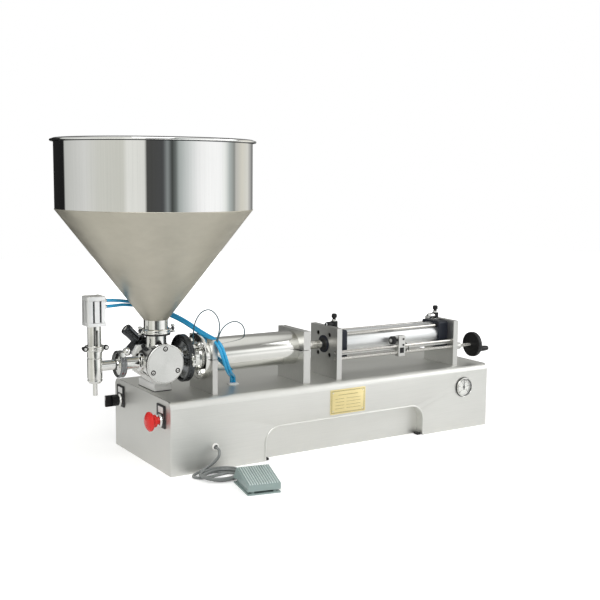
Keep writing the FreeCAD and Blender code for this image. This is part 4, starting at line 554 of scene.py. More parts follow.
class FillerStageSettings(bpy.types.PropertyGroup):
    camera_place: FloatVectorProperty(
        name="Camera place", description="Where the camera stands", size=3,
        default=(-1.2654, -1.9470, 0.6203), unit="LENGTH")
    camera_yaw: FloatProperty(
        name="Yaw", description="Turn of the view from straight ahead towards the right",
        default=0.5659, unit="ROTATION")
    camera_pitch: FloatProperty(
        name="Pitch", description="Tilt of the view downwards", default=0.1270, unit="ROTATION")
    camera_roll: FloatProperty(
        name="Roll", description="Lean of the view", default=0.0095, unit="ROTATION")
    lens: FloatProperty(
        name="Lens", description="Focal length on a 36 mm sensor, in millimetres", default=59.36)
    key_power: FloatProperty(
        name="Key light", description="Power of the large soft lamp", default=62.0, unit="POWER")
    fill_power: FloatProperty(
        name="Fill light", description="Power of the lamp on the other side", default=30.0, unit="POWER")
    world_level: FloatProperty(
        name="Surroundings", description="Brightness of the surroundings on matt surfaces", default=0.6)
    floor_glow: FloatProperty(
        name="Floor glow", description="How much white the floor adds for the camera near the object",
        default=0.3)
    floor_mirror: FloatProperty(
        name="Floor in mirrors", description="How much white the floor adds where metal or glass shows it",
        default=0.02)
    paper_reach: FloatProperty(
        name="Paper reach", description="How far from the object mirrors see the paper before the studio's room",
        default=0.8, unit="LENGTH")


class FillerCordSettings(bpy.types.PropertyGroup):
    thickness: FloatProperty(
        name="Cord thickness", description="Diameter of the pedal's cord", default=0.006, unit="LENGTH")
    turns: IntProperty(name="Turns", description="Turns of the coil on the floor", default=4)
    tube_thickness: FloatProperty(
        name="Air tube thickness", description="Diameter of each air tube", default=0.0068, unit="LENGTH")


# Cords and tubes

GROMMET = middle("cable_grommet")
CABLE_X = GROMMET[0]
LEAD_ROUTE = (
    (0, 2, 50), (0, -18, 50), (-3, -26, 38), (-14, -22, 24), (-32, -16, 12), (-50, -15, 5), (-62, -20, 3.2),
    (-66, -31, 3.2), (-59, -42, 3.2), (-44, -46, 3.2), (-24, -44, 3.2), (-2, -40, 3.2))
COIL_CENTRE = (-14, -54)
TAIL_ROUTE = ((34.5, -66, 3.6), (31.5, -78, 5.5), (29.0, -86, 6.8), (27.4, -93, 7.0))


def smooth_route(points, thickness, name, finish_name):
    """A cord: a NURBS curve of order 3 with the route's points, bevelled to a round section."""
    curve = bpy.data.curves.new(name, "CURVE")
    curve.dimensions = "3D"
    curve.bevel_depth = thickness / 2
    curve.bevel_resolution = 4
    curve.resolution_u = 8
    curve.use_fill_caps = True
    spline = curve.splines.new("NURBS")
    spline.points.add(len(points) - 1)
    for place, point in zip(spline.points, points):
        place.co = (*point, 1.0)
    spline.order_u = 3
    spline.use_endpoint_u = True
    curve.materials.append(finish(finish_name))
    piece = bpy.data.objects.new(name, curve)
    bpy.context.scene.collection.objects.link(piece)
    return piece


def coil_route(turns):
    """Loose turns that run clockwise, each of its own size, raised where they cross the lead."""
    sizes = np.array([0.66, 1.0, 0.82, 1.08, 0.93])[:turns + 1]
    levels = np.array([3.2, 3.6, 8.8, 9.4, 3.4])[:turns + 1]
    steps = 14
    share = np.arange(1, turns * steps) / steps
    angle = math.radians(62) - share * 2 * math.pi
    size = np.interp(share, np.arange(len(sizes)), sizes)
    level = np.interp(share, np.arange(len(levels)), levels)
    drift_x = 1.6 * np.sin(share * 2.1)
    drift_y = 1.4 * np.cos(share * 1.7)
    crossing = np.exp(-(np.mod(angle - math.pi, 2 * math.pi) / 0.5) ** 2)
    crossing += np.exp(-((np.mod(angle - math.pi, 2 * math.pi) - 2 * math.pi) / 0.5) ** 2)
    level = level + 6.2 * crossing * (level < 6)
    x = COIL_CENTRE[0] + 45 * size * np.cos(angle) + drift_x
    y = COIL_CENTRE[1] + 36 * size * np.sin(angle) + drift_y
    return np.stack([x, y, level], axis=1)


class FILLER_OT_pedal_cord(bpy.types.Operator):
    """Adds the grey cord from the base's grommet through its coil on the floor to the pedal"""
    bl_idname = "filler.pedal_cord"
    bl_label = "Pedal Cord"

    def execute(self, context):
        settings = context.scene.filler_cords
        route = np.concatenate([np.array(LEAD_ROUTE), coil_route(settings.turns), np.array(TAIL_ROUTE)])
        place = np.array((CABLE_X, FRONT, 0.0)) + route * MM
        piece = smooth_route(place, settings.thickness, "pedal_cord", "cord")
        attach(piece, "machine")
        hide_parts("cord_lead", "cord_coil", "cord_tail")
        return {"FINISHED"}


TUBE_SPREAD = 3.6
TUBE_PORTS = (351.3, 363.3)
TUBE_ROUTE = (
    (-107.7, 78.2, 0, 0, 0), (-92, 78.2, 0, 0, 0), (-48, 118, 351, 0, 1), (20, 152, 337, 0.4, 0.8),
    (84, 130, 308, 0.8, 0.4), (108, 74, 281, 1, 0), (119, 17, 270, 1, 0), (128, 8, 236, 1, 0),
    (152, 34, 200, 1, 0), (184, 80, 180, 1, 0), (198.5, 101, 173, 1, 0), (198.5, 101, 151, 1, 0))
# Two thin signal wires tied to the tubes at the front saddle: length in metres, and points in millimetres
WIRE_ROUTES = (
    (0.162, ((115, 22, 268), (128, 28, 288), (131, 38, 316), (116, 46, 336), (98, 54, 331), (87, 60, 312),
             (84, 64, 292), (85, 68, 276), (86, 70, 261))),
    (0.138, ((117, 20, 268), (127, 28, 288), (148, 38, 302), (175, 50, 306), (197, 60, 297), (209, 68, 284),
             (213, 74, 272), (214, 78, 268))))


class FILLER_OT_air_tubes(bpy.types.Operator):
    """Adds the two blue air tubes from the nozzle's cylinder to the base"""
    bl_idname = "filler.air_tubes"
    bl_label = "Air Tubes"

    def execute(self, context):
        settings = context.scene.filler_cords
        for number, (side, port) in enumerate(zip((-1, 1), TUBE_PORTS)):
            route = [(x, y, port) for x, y, *rest in TUBE_ROUTE[:2]]
            route += [(x + side * TUBE_SPREAD * across, y, z + side * TUBE_SPREAD * up)
                      for x, y, z, across, up in TUBE_ROUTE[2:]]
            place = np.array((LEFT, FRONT, 0.0)) + np.array(route) * MM
            piece = smooth_route(place, settings.tube_thickness, f"air_tube_{number + 1}", "blue")
            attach(piece, "machine")
            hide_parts("air_tubes")
        for number, (long, route) in enumerate(WIRE_ROUTES):
            place = np.array((LEFT, FRONT, 0.0)) + np.array(route) * MM
            piece = smooth_route(place, 0.0026, f"signal_wire_{number + 1}", "wire")
            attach(piece, "machine")
        return {"FINISHED"}


# Stage

def studio_share(tree, direction, yaw):
    """How far round the room a direction points, from 0 to 1, anticlockwise from straight ahead of the view.

    It is the view's yaw less atan2 of the direction's x and y, as a share of a whole turn.
    """
    split = add(tree, "ShaderNodeSeparateXYZ", links={"Vector": direction})
    angle = add(tree, "ShaderNodeMath", links={0: split.outputs["X"], 1: split.outputs["Y"]}, operation="ARCTAN2")
    share = add(tree, "ShaderNodeMath", {1: -1 / (2 * math.pi), 2: yaw / (2 * math.pi)},
                {0: angle.outputs[0]}, operation="MULTIPLY_ADD")
    return add(tree, "ShaderNodeMath", {1: 1.0}, {0: share.outputs[0]}, operation="FLOORED_MODULO").outputs[0]


# The studio's walls as polished steel shows them: share of a turn and colour
STUDIO_BANDS = (
    (0.000, "#7C7C79"), (0.035, "#666664"), (0.055, "#242424"), (0.182, "#1E1E1E"), (0.188, "#BFC0BC"),
    (0.290, "#D6D6D3"), (0.345, "#CFCFC8"), (0.425, "#CDCDC5"), (0.440, "#E6E6E1"), (0.494, "#DFDFDA"),
    (0.499, "#4A4A48"), (0.550, "#4B4C4D"), (0.564, "#8B9090"), (0.577, "#3E413F"), (0.590, "#6D7270"),
    (0.600, "#A9AFAD"), (0.635, "#D7DAD9"), (0.670, "#F8F8F8"), (0.700, "#FFFFFF"), (0.745, "#FFFFFF"),
    (0.767, "#EFF1EE"), (0.790, "#B2B8B6"), (0.813, "#8F918D"), (0.822, "#C0BFBA"), (0.860, "#D8D5CA"),
    (0.905, "#DCDBD4"), (0.920, "#BEBDB9"), (0.935, "#ADADAB"), (0.955, "#848482"), (1.000, "#7C7C79"))


# The same walls by height, as the upward part of a direction: brightest where the lamps' boxes hang
STUDIO_WALL_LEVELS = (
    (0.000, "#D0D0D0"), (0.060, "#D0D0D0"), (0.180, "#FFFFFF"), (0.300, "#F4F4F4"), (0.420, "#000000"),
    (1.000, "#000000"))
# What lies straight ahead of the view, behind the machine, is dark at the floor
STUDIO_FLOOR_BANDS = ((0.000, "#2E2E2D"), (0.050, "#242424")) + STUDIO_BANDS[3:-3] + (
    (0.935, "#A0A09E"), (0.955, "#383837"), (1.000, "#2E2E2D"))
STUDIO_CEILING = (
    (0.000, "#000000"), (0.300, "#000000"), (0.420, "#868684"), (0.680, "#7E7E7C"), (0.800, "#C6C6C4"),
    (1.000, "#D0D0CE"))


def many_stops(tree, factor, stops):
    """A colour ramp with a list of (position, hex colour) stops."""
    made = add(tree, "ShaderNodeValToRGB", links={"Fac": factor})
    elements = made.color_ramp.elements
    elements[0].position, elements[0].color = stops[0][0], linear(stops[0][1])
    elements[1].position, elements[1].color = stops[-1][0], linear(stops[-1][1])
    for position, code in stops[1:-1]:
        stop = elements.new(position)
        stop.color = linear(code)
    return made.outputs["Color"]


def build_world(settings):
    """Matt surfaces get a plain level, the camera sees white, and metal and glass see the studio."""
    world = bpy.data.worlds.new("studio")
    bpy.context.scene.world = world
    world.use_nodes = True
    tree = world.node_tree
    tree.nodes.clear()
    where = add(tree, "ShaderNodeTexCoord")
    share = studio_share(tree, where.outputs["Generated"], settings.camera_yaw)
    split = add(tree, "ShaderNodeSeparateXYZ", links={"Vector": where.outputs["Generated"]})
    height = split.outputs["Z"]
    bands = many_stops(tree, share, STUDIO_BANDS)
    lit = add(tree, "ShaderNodeMixRGB", {"Fac": 1.0}, {
        "Color1": bands, "Color2": many_stops(tree, height, STUDIO_WALL_LEVELS)}, blend_type="MULTIPLY")
    room = add(tree, "ShaderNodeMixRGB", {"Fac": 1.0}, {
        "Color1": lit.outputs["Color"], "Color2": many_stops(tree, height, STUDIO_CEILING)}, blend_type="ADD")
    rays = add(tree, "ShaderNodeLightPath")
    plain = add(tree, "ShaderNodeBackground", {"Color": (1, 1, 1, 1), "Strength": settings.world_level})
    white = add(tree, "ShaderNodeBackground", {"Color": (1, 1, 1, 1), "Strength": 1.0})
    glossy = add(tree, "ShaderNodeBackground", {"Strength": 1.6}, {"Color": room.outputs["Color"]})
    shown = plain.outputs[0]
    for ray, background in (("Is Glossy Ray", glossy), ("Is Transmission Ray", white), ("Is Camera Ray", white)):
        shown = add(tree, "ShaderNodeMixShader", links={
            0: rays.outputs[ray], 1: shown, 2: background.outputs[0]}).outputs[0]
    add(tree, "ShaderNodeOutputWorld", links={"Surface": shown})


def build_floor(settings):
    """A wide white paper floor that keeps the object's shadow and fades into the background."""
    made, tree, shader = blank_material("white_floor_paper")
    shader.inputs["Base Color"].default_value = linear("#FCFCFB")
    shader.inputs["Roughness"].default_value = 0.9
    shader.inputs["Specular IOR Level"].default_value = 0.1
    rays = add(tree, "ShaderNodeLightPath")
    away = add(tree, "ShaderNodeVectorMath", links={0: object_point(tree)}, operation="LENGTH")
    level = add(tree, "ShaderNodeMapRange", {"From Min": 0.7, "From Max": 2.4, "To Min": settings.floor_glow,
                                             "To Max": 1.0}, {"Value": away.outputs["Value"]})
    seen = add(tree, "ShaderNodeMath", links={0: rays.outputs["Is Camera Ray"], 1: level.outputs["Result"]},
               operation="MULTIPLY")
    mirrored = add(tree, "ShaderNodeMath", links={
        0: rays.outputs["Is Glossy Ray"], 1: rays.outputs["Is Transmission Ray"]}, operation="ADD")
    glow = add(tree, "ShaderNodeMath", {1: settings.floor_mirror}, {0: mirrored.outputs[0], 2: seen.outputs[0]},
               operation="MULTIPLY_ADD")
    tree.links.new(glow.outputs[0], shader.inputs["Emission Strength"])
    shader.inputs["Emission Color"].default_value = (1, 1, 1, 1)
    # The polished valve and nozzle show the room, so its bands run outwards from the valve
    from_valve = add(tree, "ShaderNodeVectorMath", {1: (-VALVE_X, -AXIS_Y, 0)}, {0: object_point(tree)},
                     operation="ADD").outputs["Vector"]
    bands = many_stops(tree, studio_share(tree, from_valve, settings.camera_yaw), STUDIO_FLOOR_BANDS)
    room = add(tree, "ShaderNodeEmission", {"Strength": 1.3}, {"Color": bands})
    beyond = add(tree, "ShaderNodeMapRange", {"From Min": settings.paper_reach, "From Max":
                                              settings.paper_reach * 1.4}, {"Value": away.outputs["Value"]})
    shown = add(tree, "ShaderNodeMath", links={0: beyond.outputs["Result"], 1: rays.outputs["Is Glossy Ray"]},
                operation="MULTIPLY")
    mixed = add(tree, "ShaderNodeMixShader", links={
        0: shown.outputs[0], 1: shader.outputs["BSDF"], 2: room.outputs["Emission"]})
    output = next(node for node in tree.nodes if node.type == "OUTPUT_MATERIAL")
    tree.links.new(mixed.outputs["Shader"], output.inputs["Surface"])
    mesh = bpy.data.meshes.new("floor")
    reach = 5.0
    mesh.from_pydata([(-reach, -reach, 0), (reach, -reach, 0), (reach, reach, 0), (-reach, reach, 0)], [],
                     [(0, 1, 2, 3)])
    mesh.materials.append(made)
    floor = bpy.data.objects.new("floor", mesh)
    bpy.context.scene.collection.objects.link(floor)


def soft_lamp(name, place, target, size, power):
    """A square area lamp at a place, facing a target."""
    lamp = bpy.data.lights.new(name, "AREA")
    lamp.shape = "RECTANGLE"
    lamp.size, lamp.size_y = size
    lamp.energy = power
    holder = bpy.data.objects.new(name, lamp)
    holder.location = place
    holder.rotation_euler = (Vector(target) - Vector(place)).to_track_quat("-Z", "Y").to_euler()
    bpy.context.scene.collection.objects.link(holder)


class FILLER_OT_stage(bpy.types.Operator):
    """Sets up the camera, the lamps, the surroundings and the floor"""
    bl_idname = "filler.stage"
    bl_label = "Stage"

    def execute(self, context):
        settings = context.scene.filler_stage
        yaw, pitch, roll = settings.camera_yaw, settings.camera_pitch, settings.camera_roll
        ahead = Vector((math.sin(yaw) * math.cos(pitch), math.cos(yaw) * math.cos(pitch), -math.sin(pitch)))
        right = Vector((math.cos(yaw), -math.sin(yaw), 0))
        up = right.cross(ahead)
        turned_right = math.cos(roll) * right + math.sin(roll) * up
        turned_up = -math.sin(roll) * right + math.cos(roll) * up
        lens = bpy.data.cameras.new("camera")
        lens.lens = settings.lens
        lens.sensor_width = 36
        lens.clip_end = 100
        camera = bpy.data.objects.new("camera", lens)
        camera.matrix_world = Matrix.Translation(settings.camera_place) @ Matrix(
            (turned_right, turned_up, -ahead)).transposed().to_4x4()
        context.scene.collection.objects.link(camera)
        context.scene.camera = camera
        context.scene.view_settings.view_transform = "Standard"
        build_world(settings)
        build_floor(settings)
        soft_lamp("key_lamp", (-1.6, -2.6, 2.6), (0, 0, 0.3), (2.4, 2.4), settings.key_power)
        soft_lamp("fill_lamp", (2.8, -1.6, 1.8), (0, 0, 0.3), (2.0, 2.0), settings.fill_power)
        return {"FINISHED"}


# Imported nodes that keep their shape

KEPT_FINISHES = {
    "satin_sheet": "sheet", "machined_plate": "milled", "polished_steel": "polished", "hopper_steel": "hopper",
    "silver_tube": "silver", "navy_cap": "navy", "black_plastic": "black", "legend_black": "legend",
    "stop_red": "red", "white_plastic": "white", "gauge_glass": "glass", "pointer_black": "ink",
    "plate_gold": "gold", "brass_fitting": "brass", "pedal_plastic": "pedal", "cord_grey": "cord",
    "tube_blue": "blue", "seal_rubber": "rubber",
}


class FILLER_OT_kept_nodes(bpy.types.Operator):
    """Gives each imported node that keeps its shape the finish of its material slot"""
    bl_idname = "filler.kept_nodes"
    bl_label = "Kept Nodes"

    def execute(self, context):
        for part in frame["record"]["subparts"]:
            recoat(part["node"], KEPT_FINISHES[part["material_slot"]])
        recoat("actuator_rack", "dark")
        recoat("nozzle_needle", "pale")
        return {"FINISHED"}


class FillerTrimSettings(bpy.types.PropertyGroup):
    edge_round: FloatProperty(
        name="Plate edges", description="Rounding of the milled plates' edges", default=0.0007, unit="LENGTH")
    sheet_edge: FloatProperty(
        name="Sheet edges", description="Rounding of the sheet's cut edges", default=0.001, unit="LENGTH")
    fold_round: FloatProperty(
        name="Folds", description="Rounding of the base's long folds", default=0.005, unit="LENGTH")
    rim_bead: FloatProperty(
        name="Hopper bead", description="Radius of the hopper's rolled rim", default=0.0023, unit="LENGTH")
    wheel_lobes: IntProperty(name="Handwheel lobes", description="Lobes round the handwheel's rim", default=24)
    dial_digits: StringProperty(
        name="Dial numbers", description="Numbers round the pressure dial", default="0 2 4 6 8 10")
    thread_pitch: FloatProperty(
        name="Thread pitch", description="Pitch of the lead screw's thread", default=0.003, unit="LENGTH")


def spot(across, back, up):
    """A point from millimetres along the base, behind its front skirt and above the bench."""
    return np.array((LEFT, FRONT, 0.0)) + np.array((across, back, up)) * MM


def arc_rows(centre, radius, start, end, steps=8):
    """Rows of (distance, radius) on an arc; angles in degrees from the outward direction towards the axis."""
    angle = np.radians(np.linspace(start, end, steps + 1))
    return np.stack([centre[0] + radius * np.sin(angle), centre[1] + radius * np.cos(angle)], axis=1)


def soft(profile, radius=0.6, steps=3):
    """A lathe profile with each of its corners rounded by the same small radius."""
    rows = [tuple(row[:2]) + (radius,) for row in profile]
    return rounded(rows, steps)


# Hopper

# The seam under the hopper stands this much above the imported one, in millimetres
NECK_RAISE = 7.0


class FILLER_OT_hopper(bpy.types.Operator):
    """Adds the spun hopper: outlet ferrule, cone, straight side with its weld line, and the rolled rim"""
    bl_idname = "filler.hopper"
    bl_label = "Hopper"

    def execute(self, context):
        bead = context.scene.filler_trim.rim_bead / MM
        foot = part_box("hopper")[0][2] / MM
        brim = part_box("hopper")[1][2] / MM - foot + 5.0
        neck, cone_top, edge, wall = 30.2, 257.0, 200.0, 1.5
        at, up = (HOPPER[0], HOPPER[1], foot * MM), (0, 0, 1)
        skin = Skin()
        outlet = rounded(((NECK_RAISE, 23.9, 0), (NECK_RAISE, 28, 0.4), (NECK_RAISE + 1.9, 28, 0.4),
                          (NECK_RAISE + 3.2, 25.4, 0.6), (neck, 25.4, 0)), 6)
        lathe(skin, outlet, at, up, 2, sides=192)
        lathe(skin, ((neck, 25.4), (cone_top, edge)), at, up, 1, sides=192)
        weld = arc_rows((cone_top + 1.2, edge - 0.25), 1.1, -70, 70, 6)
        lathe(skin, np.concatenate([((cone_top, edge),), weld, ((cone_top + 2.4, edge),)]), at, up, 1, sides=192)
        bead_at = brim - 1.7 - bead
        rim = [tuple(row) for row in arc_rows((bead_at, edge + 5.2), bead, -150, 80, 14)]
        # The band from here up to the bead takes the dark finish: painted shade under the rolled rim
        groove = bead_at - bead - 1.7
        lathe(skin, ((cone_top + 2.4, edge), (groove, edge)), at, up, 0, sides=192)
        lathe(skin, ((groove, edge), (groove + 1.5, edge + 0.2), rim[0]), at, up, 3, sides=192)
        lathe(skin, rim, at, up, 0, sides=192)
        # The lip's top takes the dark finish too: a painted dark reflection along the brim
        lip = ((brim - 0.5, edge + 1.2), (brim, edge + 0.6), (brim, edge - 0.8), (brim - 0.8, edge - wall))
        lathe(skin, rim[-1:] + list(lip), at, up, 3, sides=192)
        inside = rounded(((brim - 0.8, edge - wall, 0), (cone_top + 0.6, edge - wall, 5), (neck + 0.6, 23.9, 5),
                          (NECK_RAISE, 23.9, 0)), 6)
        lathe(skin, inside, at, up, 1, sides=192)
        finished("hopper_shell", skin, "machine", ("hopper", "cone", "polished", "dark"),
                 ("hopper",), sharp=24)
        return {"FINISHED"}


# Pipe clamps

def wing_nut(skin, at, along, wings, mark=0):
    """A wing nut: a tapered hub and two rounded wings that stand across it."""
    at = np.array(at)
    lathe(skin, soft(((0, 0), (0, 5.6), (7, 4.4), (9, 3.2), (9, 0)), 0.6), at, along, mark, sides=28)
    axis, first, second = axes(along)
    across = first if wings == "first" else second
    thick = second if wings == "first" else first
    angle = np.linspace(0, 2 * math.pi, 28, endpoint=False)
    for side in (-1, 1):
        rows = []
        for level, shrink in ((-1.4, 0.78), (-1.0, 0.97), (0.0, 1.0), (1.0, 0.97), (1.4, 0.78)):
            loop = (at + axis * 6.5 * MM + across * side * 7.5 * MM + thick * level * MM
                    + (np.cos(angle)[:, None] * across * 5.0 + np.sin(angle)[:, None] * axis * 6.2)
                    * shrink * MM)
            rows.append(loop)
        skin.grid(np.array(rows), mark, wrap_columns=True)
        skin.lid(rows[0], mark)
        skin.lid(rows[-1], mark)


def clamp_band(skin, at, along, reach, radius, half, mark):
    """A clamp's band: a ring with sloping shoulders and a shallow groove round its middle."""
    profile = rounded((
        (-half, reach, 0), (-half, radius - 1.6, 0.8), (-half + 1.6, radius, 0.8), (-1.6, radius, 0.4),
        (-1.0, radius - 0.7, 0.3), (1.0, radius - 0.7, 0.3), (1.6, radius, 0.4), (half - 1.6, radius, 0.8),
        (half, radius - 1.6, 0.8), (half, reach, 0), (-half, reach, 0)), 3)
    lathe(skin, profile, at, along, mark, sides=96)


def clamp_lock(skin, centre, direction, bolt, mark=0):
    """A clamp's lock: two jaws beside a swing bolt, with a washer and a wing nut at its end."""
    centre, direction, bolt = (np.array(item, dtype=float) for item in (centre, direction, bolt))
    third = np.cross(direction, bolt)
    for side in (-1, 1):
        middle_place = centre + bolt * side * 4.3 * MM
        half = np.abs(direction) * 4.6 + np.abs(bolt) * 1.9 + np.abs(third) * 4.2
        slab(skin, middle_place - half * MM, middle_place + half * MM, int(np.argmax(np.abs(bolt))), 1.4, 0.5,
             mark)
    lathe(skin, soft(((-10, 0), (-10, 2.4), (9, 2.4), (9, 0)), 0.4), centre, bolt, mark, sides=24)
    lathe(skin, soft(((6.6, 0), (6.6, 4.6), (7.8, 4.6), (7.8, 0)), 0.3), centre, bolt, mark, sides=28)
    wing_nut(skin, centre + bolt * 4.0 * MM, bolt, "first", mark)


def side_knuckle(skin, centre, reach=8.5):
    """A clamp's hinge or lock seen end on: a pin with a dark waist between two wider ends, up the Z axis."""
    up = (0, 0, 1)
    for low, high in ((-reach, -reach + 4.5), (reach - 4.5, reach)):
        lathe(skin, soft(((low, 0), (low, 4.0), (high, 4.0), (high, 0)), 1.0), centre, up, 0, sides=32)
    lathe(skin, ((-reach + 4, 2.6), (reach - 4, 2.6)), centre, up, 1, sides=24)
    lathe(skin, soft(((-2.0, 0), (-2.0, 3.7), (2.0, 3.7), (2.0, 0)), 0.6), centre, up, 1, sides=32)


class FILLER_OT_pipe_clamps(bpy.types.Operator):
    """Adds the four pipe clamps with their hinges, swing bolts and knobs"""
    bl_idname = "filler.pipe_clamps"
    bl_label = "Pipe Clamps"

    def execute(self, context):
        skin = Skin()
        x, y, z = VALVE_X, AXIS_Y, AXIS_Z
        up, right, back = (0, 0, 1), (1, 0, 0), (0, 1, 0)
        seam = np.array((x, y, z + (56 + NECK_RAISE) * MM))
        clamp_band(skin, seam, up, 27.5, 31, 5.2, 0)
        for side in (-1, 1):
            slab(skin, seam + np.array((min(side * 29, side * 37), -4, -3)) * MM,
                 seam + np.array((max(side * 29, side * 37), 4, 3)) * MM, 0, 1.2, 0.5)
            side_knuckle(skin, seam + np.array((side * 37.0, -3.0, 3.0)) * MM)
        large = spot(65, 78.2, 230.6)
        clamp_band(skin, large, right, 46, 50.5, 6.8, 1)
        clamp_lock(skin, large + np.array((0, -53.0, 0)) * MM, (0, -1, 0), (0, 0, 1))
        small = spot(-77, 78.2, 230.6)
        clamp_band(skin, small, right, 25.2, 28, 6.8, 3)
        ball_at = small + np.array((9.0, -17.0, 28.0)) * MM
        slab(skin, small + np.array((-5.0, -21.5, 17.0)) * MM, small + np.array((6.0, -12.0, 27.0)) * MM, 2, 1.6,
             0.6)
        lathe(skin, arc_rows((0.0, 0.0), 8.8, -88, 88, 20), ball_at, up, 0, sides=56)
        # A black ring round the ball's right side: painted shade on the ball knob
        lathe(skin, soft(((3.6, 5.0), (3.6, 8.6), (6.0, 7.4), (6.0, 5.0)), 0.3), ball_at, right, 2, sides=48)
        nozzle = np.array((NOZZLE_X, y, z + 38.5 * MM))
        clamp_band(skin, nozzle, up, 13.9, 19.4, 5.0, 0)
        for side in (-1, 1):
            knuckle = nozzle + np.array((side * 22.0 * MM, 0, 0))
            lathe(skin, soft(((-6, 0), (-6, 3.2), (6, 3.2), (6, 0)), 0.5), knuckle, back, 0, sides=28)
            lathe(skin, soft(((-9.5, 0), (-9.5, 5.4), (-3.5, 5.4), (-3.5, 0)), 1.4), knuckle, back, 2, sides=36)
            lathe(skin, soft(((-9.9, 0), (-9.9, 2.8), (-9.2, 3.1)), 0.3), knuckle, back, 0, sides=28)
            slab(skin, knuckle - np.array((3.6, 3.2, 3.4)) * MM, knuckle + np.array((3.6, 3.2, 3.4)) * MM, 1, 1.2,
                 0.5)
        finished("pipe_clamp_set", skin, "machine", ("polished", "dark", "black", "tumbled"),
                 ("pipe_clamps",))
        return {"FINISHED"}


# Valve

VALVE_X = middle("valve_front_cover")[0]
NOZZLE_X = middle("nozzle_needle")[0]


class FILLER_OT_valve(bpy.types.Operator):
    """Adds the rotary valve's body with its necks, and the brushed front cover"""
    bl_idname = "filler.valve"
    bl_label = "Rotary Valve"

    def execute(self, context):
        x, y, z = VALVE_X, AXIS_Y, AXIS_Z
        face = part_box("valve_front_cover")[0][1]
        skin = Skin()
        lathe(skin, soft(((8.0, 0), (8.0, 37), (75, 37), (75, 0)), 1.2), (x, face, z), (0, 1, 0), sides=96)
        lathe(skin, rounded(((0, 0, 0), (0, 21.5, 0), (40, 21.5, 1.5), (51.6 + NECK_RAISE, 21.5, 1.0),
                             (53.1 + NECK_RAISE, 28, 0.4), (55.2 + NECK_RAISE, 28, 0.4), (55.2 + NECK_RAISE, 0, 0)),
                            4), (x, y, z), (0, 0, 1), sides=80)
        lathe(skin, ((0, 0), (0, 26), (49.0, 26)), (x, y, z), (1, 0, 0), sides=96)
        lathe(skin, rounded(((49.0, 26, 0), (50.9, 26.5, 3), (56.7, 38, 1), (58.0, 46, 0.4), (59.9, 46, 0.4),
                             (59.9, 0, 0)), 4), (x, y, z), (1, 0, 0), 1, sides=96)
        lathe(skin, rounded(((0, 0, 0), (0, 19, 0), (40, 19, 1.2), (42, 13, 1.2), (76.1, 13, 1), (78.6, 25.2, 0.4),
                             (80.5, 25.2, 0.4), (80.5, 0, 0)), 4), (x, y, z), (-1, 0, 0), sides=72)
        finished("valve_housing", skin, "machine", ("polished", "tumbled"), ("valve_body",))
        disc = Skin()
        front = [(0.0, 0), (0.0, 8), (0.0, 24), (0.0, 37.6), (0.7, 38.0), (0.7, 38.8), (0.0, 39.2)]
        rim = [(0.0, 40.2), (0.3, 40.7), (0.9, 41), (3.6, 41)]
        lathe(disc, front + rim, (x, face, z), (0, 1, 0), sides=120)
        # The cover's side behind its rim takes the black finish: painted shade as a dark outline round the disc
        lathe(disc, ((3.6, 41), (3.8, 40.6), (8.0, 40.6), (8.0, 0)), (x, face, z), (0, 1, 0), 1, sides=120)
        finished("valve_cover_disc", disc, "machine", ("spun", "rubber"),
                 ("valve_front_cover",))
        return {"FINISHED"}


# Fasteners

def socket_screw(skin, at, along, radius, length, mark=0):
    """A cap screw's head from its seat: a chamfered cylinder with a hexagonal socket in its top."""
    flat = radius * 0.52
    profile = [(0, 0), (0, radius), (length - radius * 0.12, radius), (length, radius * 0.88),
               (length, flat * 1.35), (length - 0.5, flat, 6), (length * 0.4, flat, 6), (length * 0.4, 0)]
    lathe(skin, profile, at, along, mark, sides=36)


def acorn_nut(skin, at, along, mark=0):
    """A domed nut: a hexagon, a small collar and a ball end whose radius follows a quarter circle."""
    dome = arc_rows((6.4, 0.0), 6.6, 0, 88, 8)
    profile = [(0, 0), (0, 7.2), (0.5, 7.4, 6), (5.6, 7.4, 6), (6.3, 6.9)] + [tuple(row) for row in dome]
    lathe(skin, [(row[0], row[1], row[2] if len(row) > 2 else 0) for row in profile], at, along, mark, sides=48)


